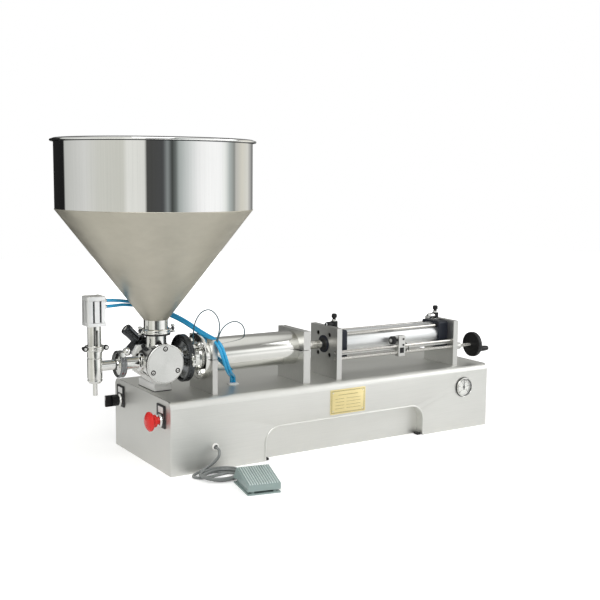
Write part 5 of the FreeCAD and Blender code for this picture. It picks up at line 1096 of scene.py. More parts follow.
class FILLER_OT_fasteners(bpy.types.Operator):
    """Adds the socket screws of the cover, saddles and plates, and the flange's acorn nuts"""
    bl_idname = "filler.fasteners"
    bl_label = "Fasteners"

    def execute(self, context):
        skin = Skin()
        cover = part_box("valve_front_cover")[0][1]
        for degrees in (90, 210, 330):
            angle = math.radians(degrees)
            place = (VALVE_X + 31.5 * MM * math.cos(angle), cover, AXIS_Z + 31.5 * MM * math.sin(angle))
            # A near-black disc round each head stands in for the counterbore: painted shade round the bright
            # polished head. The socket is near-black too: painted shade in the socket.
            lathe(skin, ((-0.5, 0), (-0.5, 5.4), (0.12, 5.4), (0.16, 5.0), (0.16, 2.7)), place, (0, -1, 0), 1,
                  sides=36)
            lathe(skin, [(0.16, 2.8), (0.7, 2.8), (0.9, 2.5), (0.9, 1.6), (0.7, 1.4, 6)], place, (0, -1, 0), 0,
                  sides=36)
            lathe(skin, [(0.7, 1.4, 6), (0.4, 1.4, 6), (0.4, 0)], place, (0, -1, 0), 1, sides=36)
        for saddle in (114.1, 343.8):
            for side in (-1, 1):
                socket_screw(skin, spot(saddle, 78.2 + side * 46.5, 230.6 + 37.2), (0, 0, 1), 4.8, 4.6)
        for across, along in ((424.7, -1), (785.5, 1)):
            for side in (-1, 1):
                for level in (-1, 1):
                    place = spot(across - along * 5.4, 78.2 + side * 23.25, 230.6 + level * 23.25)
                    socket_screw(skin, place, (along, 0, 0), 5.2, 4.4, 1 if along < 0 else 0)
        for degrees in (45, 135, 225, 315):
            angle = math.radians(degrees)
            acorn_nut(skin, spot(96.1, 78.2 + 42 * math.cos(angle), 230.6 + 42 * math.sin(angle)), (-1, 0, 0))
        finished("screws_and_nuts", skin, "machine", ("polished", "dark_steel_and_shade"),
                 ("socket_screws",))
        return {"FINISHED"}


# Plates and blocks with rolled edges

DRESSED = (
    ("front_and_rear_saddles", "saddle_bases", "machine", "milled", "machined_plate"),
    ("saddle_tops", "saddle_caps", "machine", "milled", "machined_plate"),
    ("front_plate_dressed", "cylinder_front_plate", "machine", "milled", "machined_plate"),
    ("rear_plate_dressed", "cylinder_rear_plate", "machine", "milled", "machined_plate"),
    ("front_cap_dressed", "air_cylinder_front_cap", "machine", "navy", "navy_cap"),
    ("rear_cap_dressed", "air_cylinder_rear_cap", "machine", "navy", "navy_cap"),
    ("valve_bracket_dressed", "valve_bracket", "machine", "ground", "machined_plate"),
    ("actuator_housing_dressed", "actuator_housing", "machine", "dark", "silver_tube"),
    ("selector_dressed", "selector_knob", "selector", "black", "black_plastic"),
    ("pedal_base_dressed", "pedal_base", "machine", "pedal", "pedal_plastic"),
)


class FILLER_OT_dressed_plates(bpy.types.Operator):
    """Rolls the edges of the saddles, plates, caps, bracket and pedal"""
    bl_idname = "filler.dressed_plates"
    bl_label = "Plates And Blocks"

    def execute(self, context):
        edge = context.scene.filler_trim.edge_round / MM
        for name, node, body, finish_name, slot in DRESSED:
            dressed(name, node, body, finish_name, edge)
        dressed("pedal_treadle_dressed", "pedal_treadle", "treadle", "pedal", 0.25)
        trim = context.scene.filler_trim
        base = dressed("base_dressed", "chassis_shell", "machine", "sheet", trim.sheet_edge / MM)
        fold_edges(base, base_folds, trim.fold_round)
        return {"FINISHED"}


def swept_round(skin, route, radius, mark=0, sides=14):
    """A round section carried along a route of points in metres.

    The section stays square to the way between a point's two neighbours, and lies in a plane that turns
    with the route round one fixed direction.
    """
    route = np.asarray(route, dtype=float)
    way = np.gradient(route, axis=0)
    way /= np.linalg.norm(way, axis=1)[:, None]
    fixed = np.array((0.0, 1.0, 0.0))
    first = np.cross(way, fixed)
    first /= np.linalg.norm(first, axis=1)[:, None]
    second = np.cross(way, first)
    angle = np.linspace(0, 2 * math.pi, sides, endpoint=False)
    rows = (route[:, None, :] + radius * (np.cos(angle)[None, :, None] * first[:, None, :]
                                          + np.sin(angle)[None, :, None] * second[:, None, :]))
    skin.grid(rows, mark, wrap_columns=True)
    skin.lid(rows[0], mark)
    skin.lid(rows[-1], mark)


ARCH_START, ARCH_END, ARCH_TOP, ARCH_CORNER = 224.0, 662.0, 75.0, 40.0
RIGHT = BASE_HIGH[0]


class FILLER_OT_base_trim(bpy.types.Operator):
    """Adds the hem round the base's two arches, the saddles' split lines, and painted shade: a line round the valve
    bracket's foot, lines along the end plates' tops and blocks in the arches' corners
    """
    bl_idname = "filler.base_trim"
    bl_label = "Base Trim"

    def execute(self, context):
        path = rounded(((ARCH_START, 0.4, 0), (ARCH_START, ARCH_TOP, ARCH_CORNER),
                        (ARCH_END, ARCH_TOP, ARCH_CORNER), (ARCH_END, 0.4, 0)), 14)
        hem = Skin()
        for y in (FRONT, -FRONT):
            route = np.column_stack([LEFT + path[:, 0] * MM, np.full(len(path), y), path[:, 1] * MM])
            swept_round(hem, route, 1.9 * MM)
        finished("arch_hems", hem, "machine", ("hem",))
        seams = Skin()
        for across, thick in ((108.1, 12.0), (334.8, 18.0)):
            half_thick = thick / 2 + 0.08
            for side in (-1, 1):
                inner, outer = 38.0, 55.1
                low, high = sorted((side * inner, side * outer))
                slab(seams, spot(across - half_thick, 78.2 + low, 230.6 - 0.5),
                     spot(across + half_thick, 78.2 + high, 230.6 + 0.5), 2, 0.02, 0.02, 0, 1)
        # A dark rim round the valve bracket's foot, where it stands on the base's top: painted shadow
        foot_low, foot_high = spot(14.5, 112, 0), spot(54.5, 196, 0)
        slab(seams, (foot_low[0] - 0.2 * MM, foot_low[1] - 0.2 * MM, TOP - 0.5 * MM),
             (foot_high[0] + 0.2 * MM, foot_high[1] + 0.2 * MM, TOP + 1.5 * MM), 2, 0.3, 0.1, 0, 1)
        finished("saddle_split_lines_and_foot_shadow", seams, "machine", ("rubber",))
        # Dark strips just inside both end plates' top edges: painted shadow lines
        ends = Skin()
        for inner, outer in ((LEFT + 1.6 * MM, LEFT + 2.3 * MM), (RIGHT - 2.3 * MM, RIGHT - 1.6 * MM)):
            slab(ends, (inner, FRONT + 5 * MM, TOP - 0.5 * MM), (outer, -FRONT - 5 * MM, TOP + 0.06 * MM), 1, 0.02,
                 0.02, 0, 1)
        finished("end_plate_shadow_lines", ends, "machine", ("dark",))
        # Dark blocks on the floor inside both ends of each arch: painted shade in the recess corners
        dark_corner_blocks = Skin()
        for across in (ARCH_END - 12.5, ARCH_START + 2.5):
            for back in (5.0, -2 * FRONT / MM - 20.0):
                slab(dark_corner_blocks, spot(across, back, 0.0), spot(across + 10, back + 15, 5.0), 2, 1.5, 0.6)
        finished("arch_corner_shade_blocks", dark_corner_blocks, "machine", ("rubber",))
        return {"FINISHED"}


class FILLER_OT_treadle_ribs(bpy.types.Operator):
    """Adds the raised ribs that run up the foot pedal's treadle"""
    bl_idname = "filler.treadle_ribs"
    bl_label = "Treadle Ribs"

    def execute(self, context):
        wide, toe, ridge, ridge_at, count = 68.0, 20.0, 37.0, 72.0, 12
        pitch = (wide - 6) / count
        lean = math.radians(-11.0)
        corner = spot(77.0, -184.0, 0.0)
        turn = np.array(((math.cos(lean), math.sin(lean), 0), (-math.sin(lean), math.cos(lean), 0), (0, 0, 1)))
        ribs = Skin()
        angle = np.linspace(0, math.pi, 9)
        for index in range(count):
            x = 3 + pitch * (index + 0.5)
            rows = []
            for along, shrink in ((2.0, 0.05), (3.0, 0.9), (5.0, 1.0), (ridge_at - 4, 1.0), (ridge_at - 2, 0.9),
                                  (ridge_at - 1, 0.05)):
                level = toe + (ridge - toe) * along / ridge_at - 0.3
                rows.append(np.column_stack([x + pitch * 0.27 * np.cos(angle), np.full(9, along),
                                             level + 2.9 * shrink * np.sin(angle)]))
            points = np.array(rows) * MM @ turn + corner
            ribs.grid(points)
        finished("treadle_ribs", ribs, "treadle", ("pedal_rib",))
        return {"FINISHED"}


# Cylinders and rods

class FILLER_OT_cylinders(bpy.types.Operator):
    """Adds the material cylinder with its flange, the air cylinder's tube and the polished rods"""
    bl_idname = "filler.cylinders"
    bl_label = "Cylinders And Rods"

    def execute(self, context):
        right = (1, 0, 0)
        start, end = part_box("material_cylinder_tube")
        long = (end[0] - start[0]) / MM
        skin = Skin()
        lathe(skin, soft(((0, 34), (0, 37.7), (long, 37.7), (long, 34), (0, 34)), 0.7), (start[0], AXIS_Y, AXIS_Z),
              right, sides=128)
        finished("material_cylinder", skin, "machine", ("tube",),
                 ("material_cylinder_tube",))
        flange = Skin()
        lathe(flange, rounded((
            (0.8, 28, 0), (0.8, 46, 0.4), (2.7, 46, 0.4), (4.0, 31.5, 1.2), (31.1, 31.5, 2.5), (31.1, 50, 0.9),
            (43.1, 50, 0.9), (43.1, 37.7, 0), (35.1, 37.7, 0), (35.1, 28, 0), (0.8, 28, 0)), 4),
            spot(65, 78.2, 230.6), right, sides=112)
        finished("cylinder_flange", flange, "machine", ("polished",), ("front_flange",))
        start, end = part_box("air_cylinder_tube")
        long = (end[0] - start[0]) / MM
        barrel = Skin()
        lathe(barrel, soft(((0, 25), (0, 28.5), (long, 28.5), (long, 25), (0, 25)), 0.4),
              (start[0], AXIS_Y, AXIS_Z), right, sides=96)
        finished("air_cylinder_barrel", barrel, "machine", ("silver",), ("air_cylinder_tube",))
        ties = Skin()
        start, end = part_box("tie_rods")
        long = (end[0] - start[0]) / MM
        for side in (-1, 1):
            for level in (-1, 1):
                place = (start[0], AXIS_Y + side * 23.25 * MM, AXIS_Z + level * 23.25 * MM)
                lathe(ties, soft(((0, 0), (0, 4), (long, 4), (long, 0)), 0.4), place, right, sides=32)
        finished("air_cylinder_ties", ties, "machine", ("turned",), ("tie_rods",))
        start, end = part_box("piston_rod")
        long = (end[0] - start[0]) / MM
        shaft = Skin()
        lathe(shaft, soft(((0, 0), (0, 10), (long, 10), (long, 0)), 0.6), (start[0], AXIS_Y, AXIS_Z), right,
              sides=64)
        finished("piston_shaft", shaft, "piston_train", ("turned",), ("piston_rod",))
        return {"FINISHED"}


# Stroke setting

SCREW_Y = middle("lead_screw")[1]
SCREW_Z = middle("lead_screw")[2]


class FILLER_OT_stroke_setting(bpy.types.Operator):
    """Adds the threaded lead screw, the guide rod, the scale with its graduations and the sensor carriage"""
    bl_idname = "filler.stroke_setting"
    bl_label = "Stroke Setting"

    def execute(self, context):
        pitch = context.scene.filler_trim.thread_pitch
        start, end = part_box("lead_screw")
        long = end[0] - start[0]
        distance = np.arange(0, long - 0.0005, pitch / 6)
        angle = np.linspace(0, 2 * math.pi, 20, endpoint=False)
        # Radius falls and rises with the distance along the screw less the share of a turn
        phase = distance[:, None] / pitch - angle[None, :] / (2 * math.pi)
        radius = 3.95 * MM - 0.5 * MM * (0.5 - 0.5 * np.cos(2 * math.pi * phase))
        points = np.stack([start[0] + np.broadcast_to(distance[:, None], radius.shape),
                           SCREW_Y + radius * np.cos(angle), SCREW_Z + radius * np.sin(angle)], axis=-1)
        skin = Skin()
        skin.grid(points, wrap_columns=True)
        skin.lid(points[0])
        skin.lid(points[-1])
        finished("lead_screw_thread", skin, "stroke_screw", ("turned",), ("lead_screw",))
        start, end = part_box("guide_rod")
        rail = Skin()
        long = (end[0] - start[0]) / MM
        lathe(rail, soft(((0, 0), (0, 3.5), (long, 3.5), (long, 0)), 0.4),
              (start[0], SCREW_Y, middle("guide_rod")[2]), (1, 0, 0), sides=28)
        finished("guide_rail", rail, "machine", ("turned",), ("guide_rod",))
        low, high = (np.array(corner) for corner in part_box("scale_bar"))
        strip = Skin()
        slab(strip, low, high, 0, 0.3, 0.2)
        for tick in range(0, int((high[0] - low[0]) / MM) - 4, 5):
            tall = 3.2 if tick % 50 == 0 else 2.2 if tick % 10 == 0 else 1.4
            place = np.array((low[0] + (tick + 3) * MM, low[1] - 0.04 * MM, low[2] + 0.3 * MM))
            slab(strip, place, place + np.array((0.4, 0.2, tall)) * MM, 2, 0.02, 0.02, 1, 1)
        finished("scale_strip", strip, "machine", ("milled", "ink"), ("scale_bar",))
        low, high = (np.array(corner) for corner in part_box("sensor_carriage"))
        block_low = np.array((high[0] - 20 * MM, SCREW_Y - 7 * MM, low[2]))
        block_high = np.array((high[0], SCREW_Y + 7 * MM, high[2]))
        carriage = Skin()
        slab(carriage, block_low, block_high, 0, 1.2, 0.7, 1)
        slab(carriage, (block_low[0] + 1 * MM, SCREW_Y + 7 * MM, AXIS_Z - 2 * MM), (high[0] - 1 * MM, high[1],
             AXIS_Z + 8 * MM), 0, 1.0, 0.5)
        slab(carriage, (block_low[0] + 4 * MM, SCREW_Y - 7.6 * MM, AXIS_Z - 30 * MM),
             (high[0] - 4 * MM, SCREW_Y - 6.9 * MM, AXIS_Z - 17 * MM), 1, 1.0, 0.2, 0)
        for level in (-11, 3):
            socket_screw(carriage, (block_low[0] + 14 * MM, SCREW_Y - 7 * MM, AXIS_Z + level * MM), (0, -1, 0),
                         2.4, 1.4, 0)
        ridges = lambda angle, along: 0.35 * MM * np.cos(20 * angle) * (along > 7.5 * MM)
        lathe(carriage, soft(((0, 0), (0, 3), (7, 3), (7, 9.6), (18, 9.6), (18, 0)), 0.9, 3),
              (block_low[0], SCREW_Y, AXIS_Z + 1 * MM), (-1, 0, 0), sides=80, flute=ridges)
        lathe(carriage, soft(((17.8, 0), (17.8, 4.6), (19.2, 4.2), (19.4, 0)), 0.4),
              (block_low[0], SCREW_Y, AXIS_Z + 1 * MM), (-1, 0, 0), 1, sides=32)
        turn = np.radians(np.linspace(60, -200, 40))
        drop = np.linspace(0, 1, 40)
        cable = np.column_stack([high[0] + (3 + 9 * np.cos(turn) + 14 * drop) * MM,
                                 SCREW_Y + (2 - 6 * drop) * MM,
                                 AXIS_Z + (-16 + 9 * np.sin(turn) - 8 * drop) * MM])
        swept_round(carriage, cable, 1.1 * MM, 2, 10)
        finished("sensor_carriage_dressed", carriage, "carriage", ("black", "milled", "rubber"),
                 ("sensor_carriage",))
        return {"FINISHED"}


class FILLER_OT_handwheel(bpy.types.Operator):
    """Adds the lobed black handwheel, its hub and its turning grip"""
    bl_idname = "filler.handwheel"
    bl_label = "Handwheel"

    def execute(self, context):
        lobes = context.scene.filler_trim.wheel_lobes
        low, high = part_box("handwheel")
        wheel_x = low[0]
        lobe = lambda angle, along: -0.5 * MM * (0.5 - 0.5 * np.cos(lobes * angle)) * (along > 3.5 * MM)
        skin = Skin()
        lathe(skin, rounded((
            (0, 4, 0), (0, 9, 1), (3, 29.4, 1.5), (6, 30, 1.5), (12.5, 30, 1.8), (14, 27, 1.6), (14, 25, 1),
            (9.5, 21.5, 1), (9.5, 10.5, 1.2), (13, 9, 1), (13, 4, 0), (0, 4, 0)), 4),
            (wheel_x, SCREW_Y, SCREW_Z), (1, 0, 0), sides=144)
        finished("handwheel_disc", skin, "stroke_screw", ("black",), ())
        rim = Skin()
        lathe(rim, soft(((2, 28.5), (2, 30.3), (5, 30.9), (11, 30.9), (13, 30.3), (13, 28.5), (2, 28.5)), 0.7),
              (wheel_x, SCREW_Y, SCREW_Z), (1, 0, 0), sides=240, flute=lobe)
        finished("handwheel_lobes", rim, "stroke_screw", ("black",), ())
        grip_low, grip_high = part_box("handwheel_grip")
        at = ((grip_low[0]), (grip_low[1] + grip_high[1]) / 2, (grip_low[2] + grip_high[2]) / 2)
        pin = Skin()
        lathe(pin, soft(((-10, 0), (-10, 3), (25.8, 3), (25.8, 5.1), (27.8, 5.1), (27.8, 0)), 0.5), at, (1, 0, 0),
              sides=32)
        finished("grip_pin", pin, "stroke_screw", ("turned",), ("handwheel",))
        grip = Skin()
        lathe(grip, rounded((
            (0, 3.1, 0), (0, 5.6, 0.8), (3, 6.4, 2), (10, 7, 6), (20, 6.6, 5), (28, 5.5, 1.0), (28, 5.3, 0),
            (25, 5.3, 0), (25, 3.1, 0), (0, 3.1, 0)), 5), at, (1, 0, 0), sides=56)
        finished("grip_sleeve", grip, "wheel_grip", ("black",), ("handwheel_grip",))
        return {"FINISHED"}


class FILLER_OT_flow_controls(bpy.types.Operator):
    """Adds the two elbow flow controls, their release collars and their ridged setting knobs"""
    bl_idname = "filler.flow_controls"
    bl_label = "Flow Controls"

    def execute(self, context):
        top = AXIS_Z + 32.5 * MM
        ridges = lambda angle, along: 0.3 * MM * np.cos(18 * angle) * (along > 26.5 * MM)
        skin = Skin()
        for number, node in enumerate(("front_flow_knob", "rear_flow_knob")):
            x = middle(node)[0]
            at = (x, AXIS_Y, top)
            lathe(skin, [(-6, 0), (-6, 5.3), (0, 5.3), (0.0, 8.4, 6), (0.6, 8.6, 6), (4.4, 8.6, 6), (5.0, 8.0),
                         (5.6, 7.8)], at, (0, 0, 1), 1, sides=48)
            lathe(skin, soft(((5, 0), (5, 8.4), (17.6, 8.4), (18.4, 7.4), (18.4, 5.6), (17.8, 4.2)), 0.8), at,
                  (0, 0, 1), 0, sides=56)
            lathe(skin, soft(((17.6, 4.2), (17.6, 5.6), (22.5, 5.6), (23.4, 4.6), (23.4, 4.1)), 0.5), at,
                  (0, 0, 1), 1, sides=48)
            lathe(skin, soft(((4, 0), (4, 6.4), (18, 6.4), (22, 6.0), (22, 3.2), (14, 3.2)), 0.6),
                  (x, AXIS_Y, top + 11.5 * MM), (-1, 0, 0), number, sides=48)
            lathe(skin, soft(((21.6, 3.1), (21.6, 5.0), (24.0, 5.0), (24.0, 3.1)), 0.4),
                  (x, AXIS_Y, top + 11.5 * MM), (-1, 0, 0), 2, sides=40)
            knob = Skin()
            lathe(knob, soft(((14.5, 0), (14.5, 3.9), (26, 3.9), (26, 6.0), (33.5, 6.2), (36.0, 4.4), (36.4, 0)),
                             1.0), at, (0, 0, 1), 0, sides=72, flute=ridges)
            body = "front_flow" if number == 0 else "rear_flow"
            finished(f"{node}_ridged", knob, body, ("black",), (node,))
        finished("flow_control_elbows", skin, "machine", ("black", "polished", "silver"),
                 ("flow_controls",))
        return {"FINISHED"}


# Controls on the base

def lettering(text, size, at, tilt=0.0):
    """A word as a flat mesh that faces forwards, its middle at a point; joined by the caller."""
    curve = bpy.data.curves.new("word", "FONT")
    curve.body = text
    curve.size = size * MM
    curve.align_x = "CENTER"
    curve.align_y = "CENTER"
    holder = bpy.data.objects.new("word", curve)
    bpy.context.scene.collection.objects.link(holder)
    bpy.context.view_layer.update()
    flat = bpy.data.meshes.new_from_object(holder)
    bpy.data.objects.remove(holder)
    corners = np.zeros(len(flat.vertices) * 3)
    flat.vertices.foreach_get("co", corners)
    corners = corners.reshape(-1, 3)
    turn, lean = math.cos(tilt), math.sin(tilt)
    across = corners[:, 0] * turn - corners[:, 1] * lean
    up = corners[:, 0] * lean + corners[:, 1] * turn
    points = np.stack([at[0] + across, np.full(len(up), at[1]), at[2] + up], axis=1)
    return points, [list(face.vertices) for face in flat.polygons]


def stamp(skin, points, faces, mark):
    """Adds flat lettering to a skin."""
    skin._keep(np.asarray(points), [[index + skin.count for index in face] for face in faces], mark)


class FILLER_OT_gauge(bpy.types.Operator):
    """Adds the pressure gauge and its regulator: chromed bezel, white dial with its scale and numbers, and the black
    case and body behind
    """
    bl_idname = "filler.gauge"
    bl_label = "Pressure Gauge"

    def execute(self, context):
        centre = middle("gauge_glass")
        at = np.array((centre[0], FRONT, centre[2]))
        out = (0, -1, 0)
        skin = Skin()
        lathe(skin, rounded((
            (-1, 21, 0), (0.2, 24.5, 0.6), (2.4, 24.5, 0.6), (2.6, 23.5, 0.2)), 4), at, out, 2, sides=112)
        lathe(skin, rounded((
            (2.6, 23.5, 0), (6.4, 23.2, 1.0), (7, 22.4, 0.6), (6.6, 21.6, 0.3), (6.2, 21.3, 0)), 4), at, out, 0,
            sides=112)
        lathe(skin, ((6.2, 21.3), (1.5, 21.0)), at, out, 2, sides=112)
        lathe(skin, [(1.4, 21.2), (1.5, 21.2), (1.5, 0)], at, out, 1, sides=96)
        lathe(skin, soft(((-26, 0), (-26, 21), (-1, 21)), 1), at, out, 2, sides=72)
        side, deep = 40 * MM, FRONT + 36 * MM
        slab(skin, (at[0] - side / 2, deep, at[2] - 34 * MM), (at[0] + side / 2, deep + side, at[2] + 26 * MM), 2, 3,
             1.5, 2)
        lathe(skin, soft(((0, 0), (0, 16), (26, 16), (30, 12), (30, 0)), 2), (at[0], deep + side / 2,
              at[2] - 34 * MM), (0, 0, -1), 2, sides=64)
        lathe(skin, ((0, 0), (0, 7), (12, 7)), (at[0], FRONT + 25 * MM, at[2]), (0, 1, 0), 2, sides=32)
        numbers = context.scene.filler_trim.dial_digits.split()
        steps = len(numbers) - 1
        face_y = at[1] - 1.62 * MM
        for tick in range(steps * 5 + 1):
            angle = math.radians(225 - 270 * tick / (steps * 5))
            major = tick % 5 == 0
            inner, outer = (14.4 if major else 15.8), 18.2
            wide = 0.55 if major else 0.3
            ray = np.array((math.cos(angle), 0, math.sin(angle)))
            beside = np.array((-math.sin(angle), 0, math.cos(angle))) * wide * MM
            base = np.array((at[0], face_y, at[2]))
            skin.lid([base + ray * inner * MM - beside, base + ray * outer * MM - beside,
                      base + ray * outer * MM + beside, base + ray * inner * MM + beside], 3)
            if major:
                word = numbers[tick // 5]
                stamp(skin, *lettering(word, 4.6, base + ray * 11.4 * MM), 3)
        arc = np.radians(np.linspace(225, -45, 60))
        ring_points = [np.stack([at[0] + reach * MM * np.cos(arc), np.full(60, face_y), at[2] + reach * MM
                                 * np.sin(arc)], axis=1) for reach in (18.2, 19.0)]
        skin.grid(np.array(ring_points), 3)
        finished("pressure_gauge", skin, "machine", ("polished", "dial", "black", "ink"),
                 ("pressure_regulator",))
        return {"FINISHED"}


class FILLER_OT_switches(bpy.types.Operator):
    """Adds the red mushroom button, the collars and the black legend plates with their bare windows"""
    bl_idname = "filler.switches"
    bl_label = "Switches"

    def execute(self, context):
        out = (-1, 0, 0)
        stop = middle("stop_button")
        button = Skin()
        lathe(button, rounded((
            (-12, 0, 0), (-12, 8.2, 0), (13.8, 8.2, 0.3), (14, 13.2, 1), (20.5, 13.6, 3), (24, 19.4, 2),
            (26, 20.5, 1.5), (29, 20.3, 2), (33.5, 14.5, 6), (35.6, 6, 8), (36, 0, 0)), 6),
            (LEFT, stop[1], stop[2]), out, sides=96)
        finished("stop_mushroom", button, "stop", ("red",), ("stop_button",))
        low, high = (np.array(corner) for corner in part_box("legend_plates"))
        skin = Skin()
        collars = Skin()
        for y in (stop[1], middle("selector_knob")[1]):
            wide = 20 * MM
            slab(skin, (low[0], y - wide, low[2]), (high[0], y + wide, high[2]), 0, 2.0, 0.5, 0)
            slab(skin, (low[0] - 0.15 * MM, y - 12 * MM, high[2] - 17 * MM), (low[0] + 1 * MM, y + 12 * MM,
                 high[2] - 4 * MM), 0, 0.8, 0.1, 1)
            lathe(collars, soft(((2.5, 8), (2.5, 14.5), (5, 14.5), (8.5, 12.5), (8.5, 8.3)), 0.6),
                  (LEFT, y, stop[2]), out, 0, sides=72,
                  flute=lambda angle, along: -0.35 * MM * (np.cos(16 * angle) > 0.4) * (along < 5.2 * MM))
            lathe(collars, ((-34, 0), (-34, 10.8), (2.6, 10.8)), (LEFT, y, stop[2]), out, 1, sides=48)
        finished("legend_plate_pair", skin, "machine", ("legend", "white"), ("legend_plates",))
        finished("switch_collars", collars, "machine", ("polished", "black"), ("switch_bodies",))
        mark = Skin()
        knob = middle("selector_knob")
        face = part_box("selector_knob")[0][0]
        slab(mark, (face - 0.1 * MM, knob[1] - 0.9 * MM, stop[2] + 2 * MM), (face + 0.5 * MM, knob[1] + 0.9 * MM,
             stop[2] + 11 * MM), 0, 0.5, 0.1)
        finished("selector_mark", mark, "selector", ("white",))
        return {"FINISHED"}


class FILLER_OT_nameplate(bpy.types.Operator):
    """Adds the bare gold plate with its border, ruled blanks and four rivets"""
    bl_idname = "filler.nameplate"
    bl_label = "Bare Plate"

    def execute(self, context):
        low, high = (np.array(corner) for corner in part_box("nameplate"))
        skin = Skin()
        slab(skin, low, high, 1, 2.0, 0.25, 0)
        face = low[1] - 0.05 * MM
        thick = 0.08 * MM

        def stroke(x0, z0, x1, z1):
            slab(skin, (low[0] + x0 * MM, face, low[2] + z0 * MM), (low[0] + x1 * MM, face + thick,
                 low[2] + z1 * MM), 1, 0.02, 0.01, 1, 1)

        wide, tall = (high[0] - low[0]) / MM, (high[2] - low[2]) / MM
        for inset, line in ((3.0, 0.7), (4.6, 0.3)):
            stroke(inset, inset, wide - inset, inset + line)
            stroke(inset, tall - inset - line, wide - inset, tall - inset)
            stroke(inset, inset, inset + line, tall - inset)
            stroke(wide - inset - line, inset, wide - inset, tall - inset)
        for level in (12.5, 20.0, 27.5, 35.0):
            stroke(14, level, 38, level + 0.5)
            stroke(44, level, wide - 14, level + 0.5)
        stroke(22, 43.5, wide - 22, 44.3)
        for x in (7.5, wide - 7.5):
            for z in (7.5, tall - 7.5):
                lathe(skin, rounded(((0, 0, 0), (0, 1.5, 0), (0.7, 1.2, 0.5), (0.9, 0, 0)), 3),
                      (low[0] + x * MM, low[1], low[2] + z * MM), (0, -1, 0), 2, sides=24)
        finished("gold_plate", skin, "machine", ("gold", "etched", "polished"), ("nameplate",))
        return {"FINISHED"}


# Nozzle and actuator

def ribbed_bar(skin, centre, low, high, half, mark=0):
    """A square extrusion with rounded corners and two grooves in each side, carried up the Z axis."""
    quarter = [(half, -5.0), (half - 3.2, -5.0), (half - 3.2, -9.0), (half, -9.0), (half, -(half - 3.0)),
               (half - 0.9, -(half - 0.9)), (half - 3.0, -half)]
    side = [(half, 5.0)] + quarter
    loop = []
    for turn in range(4):
        angle = -turn * math.pi / 2
        for a, b in [(half, 9.0), (half - 3.2, 9.0), (half - 3.2, 5.0)] + side:
            loop.append((a * math.cos(angle) - b * math.sin(angle), a * math.sin(angle) + b * math.cos(angle)))
    loop = np.array(loop) * MM
    rows = []
    for level, shrink in ((low, 0.985), (low + 0.4 * MM, 1), (high - 0.4 * MM, 1), (high, 0.985)):
        rows.append(np.column_stack([centre[0] + loop[:, 0] * shrink, centre[1] + loop[:, 1] * shrink,
                                     np.full(len(loop), level)]))
    skin.grid(np.array(rows), mark, wrap_columns=True)
    skin.lid(rows[0], mark)
    skin.lid(rows[-1], mark)


class FILLER_OT_nozzle(bpy.types.Operator):
    """Adds the shut-off nozzle's body, its feed arm, the small air cylinder and its two push-in fittings"""
    bl_idname = "filler.nozzle"
    bl_label = "Nozzle"

    def execute(self, context):
        skin = Skin()
        at = (NOZZLE_X, AXIS_Y, AXIS_Z - 33.5 * MM)
        lathe(skin, rounded((
            (-26, 3.2, 0), (-26, 4.6, 0.4), (-0.4, 4.6, 0.6), (0, 11.4, 0.8), (4.5, 15, 1.0), (7, 15, 0.3),
            (7.6, 14.2, 0.3), (9.6, 14.2, 0.3), (10.2, 15, 0.3), (50, 15, 0.4), (50.8, 13.8, 0.3), (52, 13.8, 0.3),
            (52.8, 15, 0.3), (64.2, 15, 0.4), (65, 14.4, 0.4), (65, 9, 0)), 4), at, (0, 0, 1), sides=80)
        lathe(skin, rounded((
            (0.8, 0, 0), (0.8, 25.2, 0.4), (2.7, 25.2, 0.4), (4.0, 22.2, 0.6), (6.0, 11.5, 1.5), (9, 10.5, 2),
            (52.2, 10.5, 0)), 4), spot(-77, 78.2, 230.6), (-1, 0, 0), sides=72)
        finished("nozzle_barrel", skin, "machine", ("polished",), ("nozzle_body",))
        low, high = (np.array(corner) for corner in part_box("nozzle_air_cylinder"))
        case = Skin()
        half = 19.0
        ribbed_bar(case, (NOZZLE_X, AXIS_Y), low[2] + 7 * MM, high[2] - 9 * MM, half, 0)
        for start, end in ((low[2], low[2] + 6.6 * MM), (high[2] - 8.6 * MM, high[2])):
            slab(case, (NOZZLE_X - half * MM, AXIS_Y - half * MM, start), (NOZZLE_X + half * MM,
                 AXIS_Y + half * MM, end), 2, 3.0, 0.6, 0)
        deep, base_z, top_z = half - 2.6, low[2] + 7.5 * MM, high[2] - 9.5 * MM
        # Dark strips on the floors of the case's grooves: painted shade in the grooves
        for turn in range(4):
            way = np.array(((1, 0), (0, 1), (-1, 0), (0, -1))[turn])
            beside = np.array((-way[1], way[0]))
            for place in (-7.0, 7.0):
                corners = [np.array((NOZZLE_X, AXIS_Y)) + (way * reach + beside * (place + shift)) * MM
                           for reach, shift in ((deep - 0.5, -1.8), (deep, 1.8))]
                slab(case, (*np.minimum(*corners), base_z), (*np.maximum(*corners), top_z), 2, 0.05, 0.05, 3, 1)
        for a in (-13, 13):
            for b in (-13, 13):
                socket_screw(case, (NOZZLE_X + a * MM, AXIS_Y + b * MM, high[2] - 0.4 * MM), (0, 0, 1), 2.6, 1.6, 1)
        for level in (0.62, 0.82):
            at = (NOZZLE_X + half * MM, AXIS_Y, low[2] + 60 * level * MM)
            lathe(case, [(0, 0), (0, 4.8, 6), (2.4, 4.8, 6), (2.6, 4.6), (6.6, 4.6), (7.0, 4.2), (7.0, 3.1)], at,
                  (1, 0, 0), 1, sides=48)
            lathe(case, soft(((7.0, 3.05), (7.0, 4.0), (8.2, 4.0), (8.2, 3.05)), 0.3), at, (1, 0, 0), 2, sides=36)
        finished("nozzle_cylinder_case", case, "machine", ("pale", "polished", "blue", "dark"),
                 ("nozzle_air_cylinder",))
        dressed("nozzle_yoke_dressed", "nozzle_yoke", "machine", "polished", 0.5)
        return {"FINISHED"}


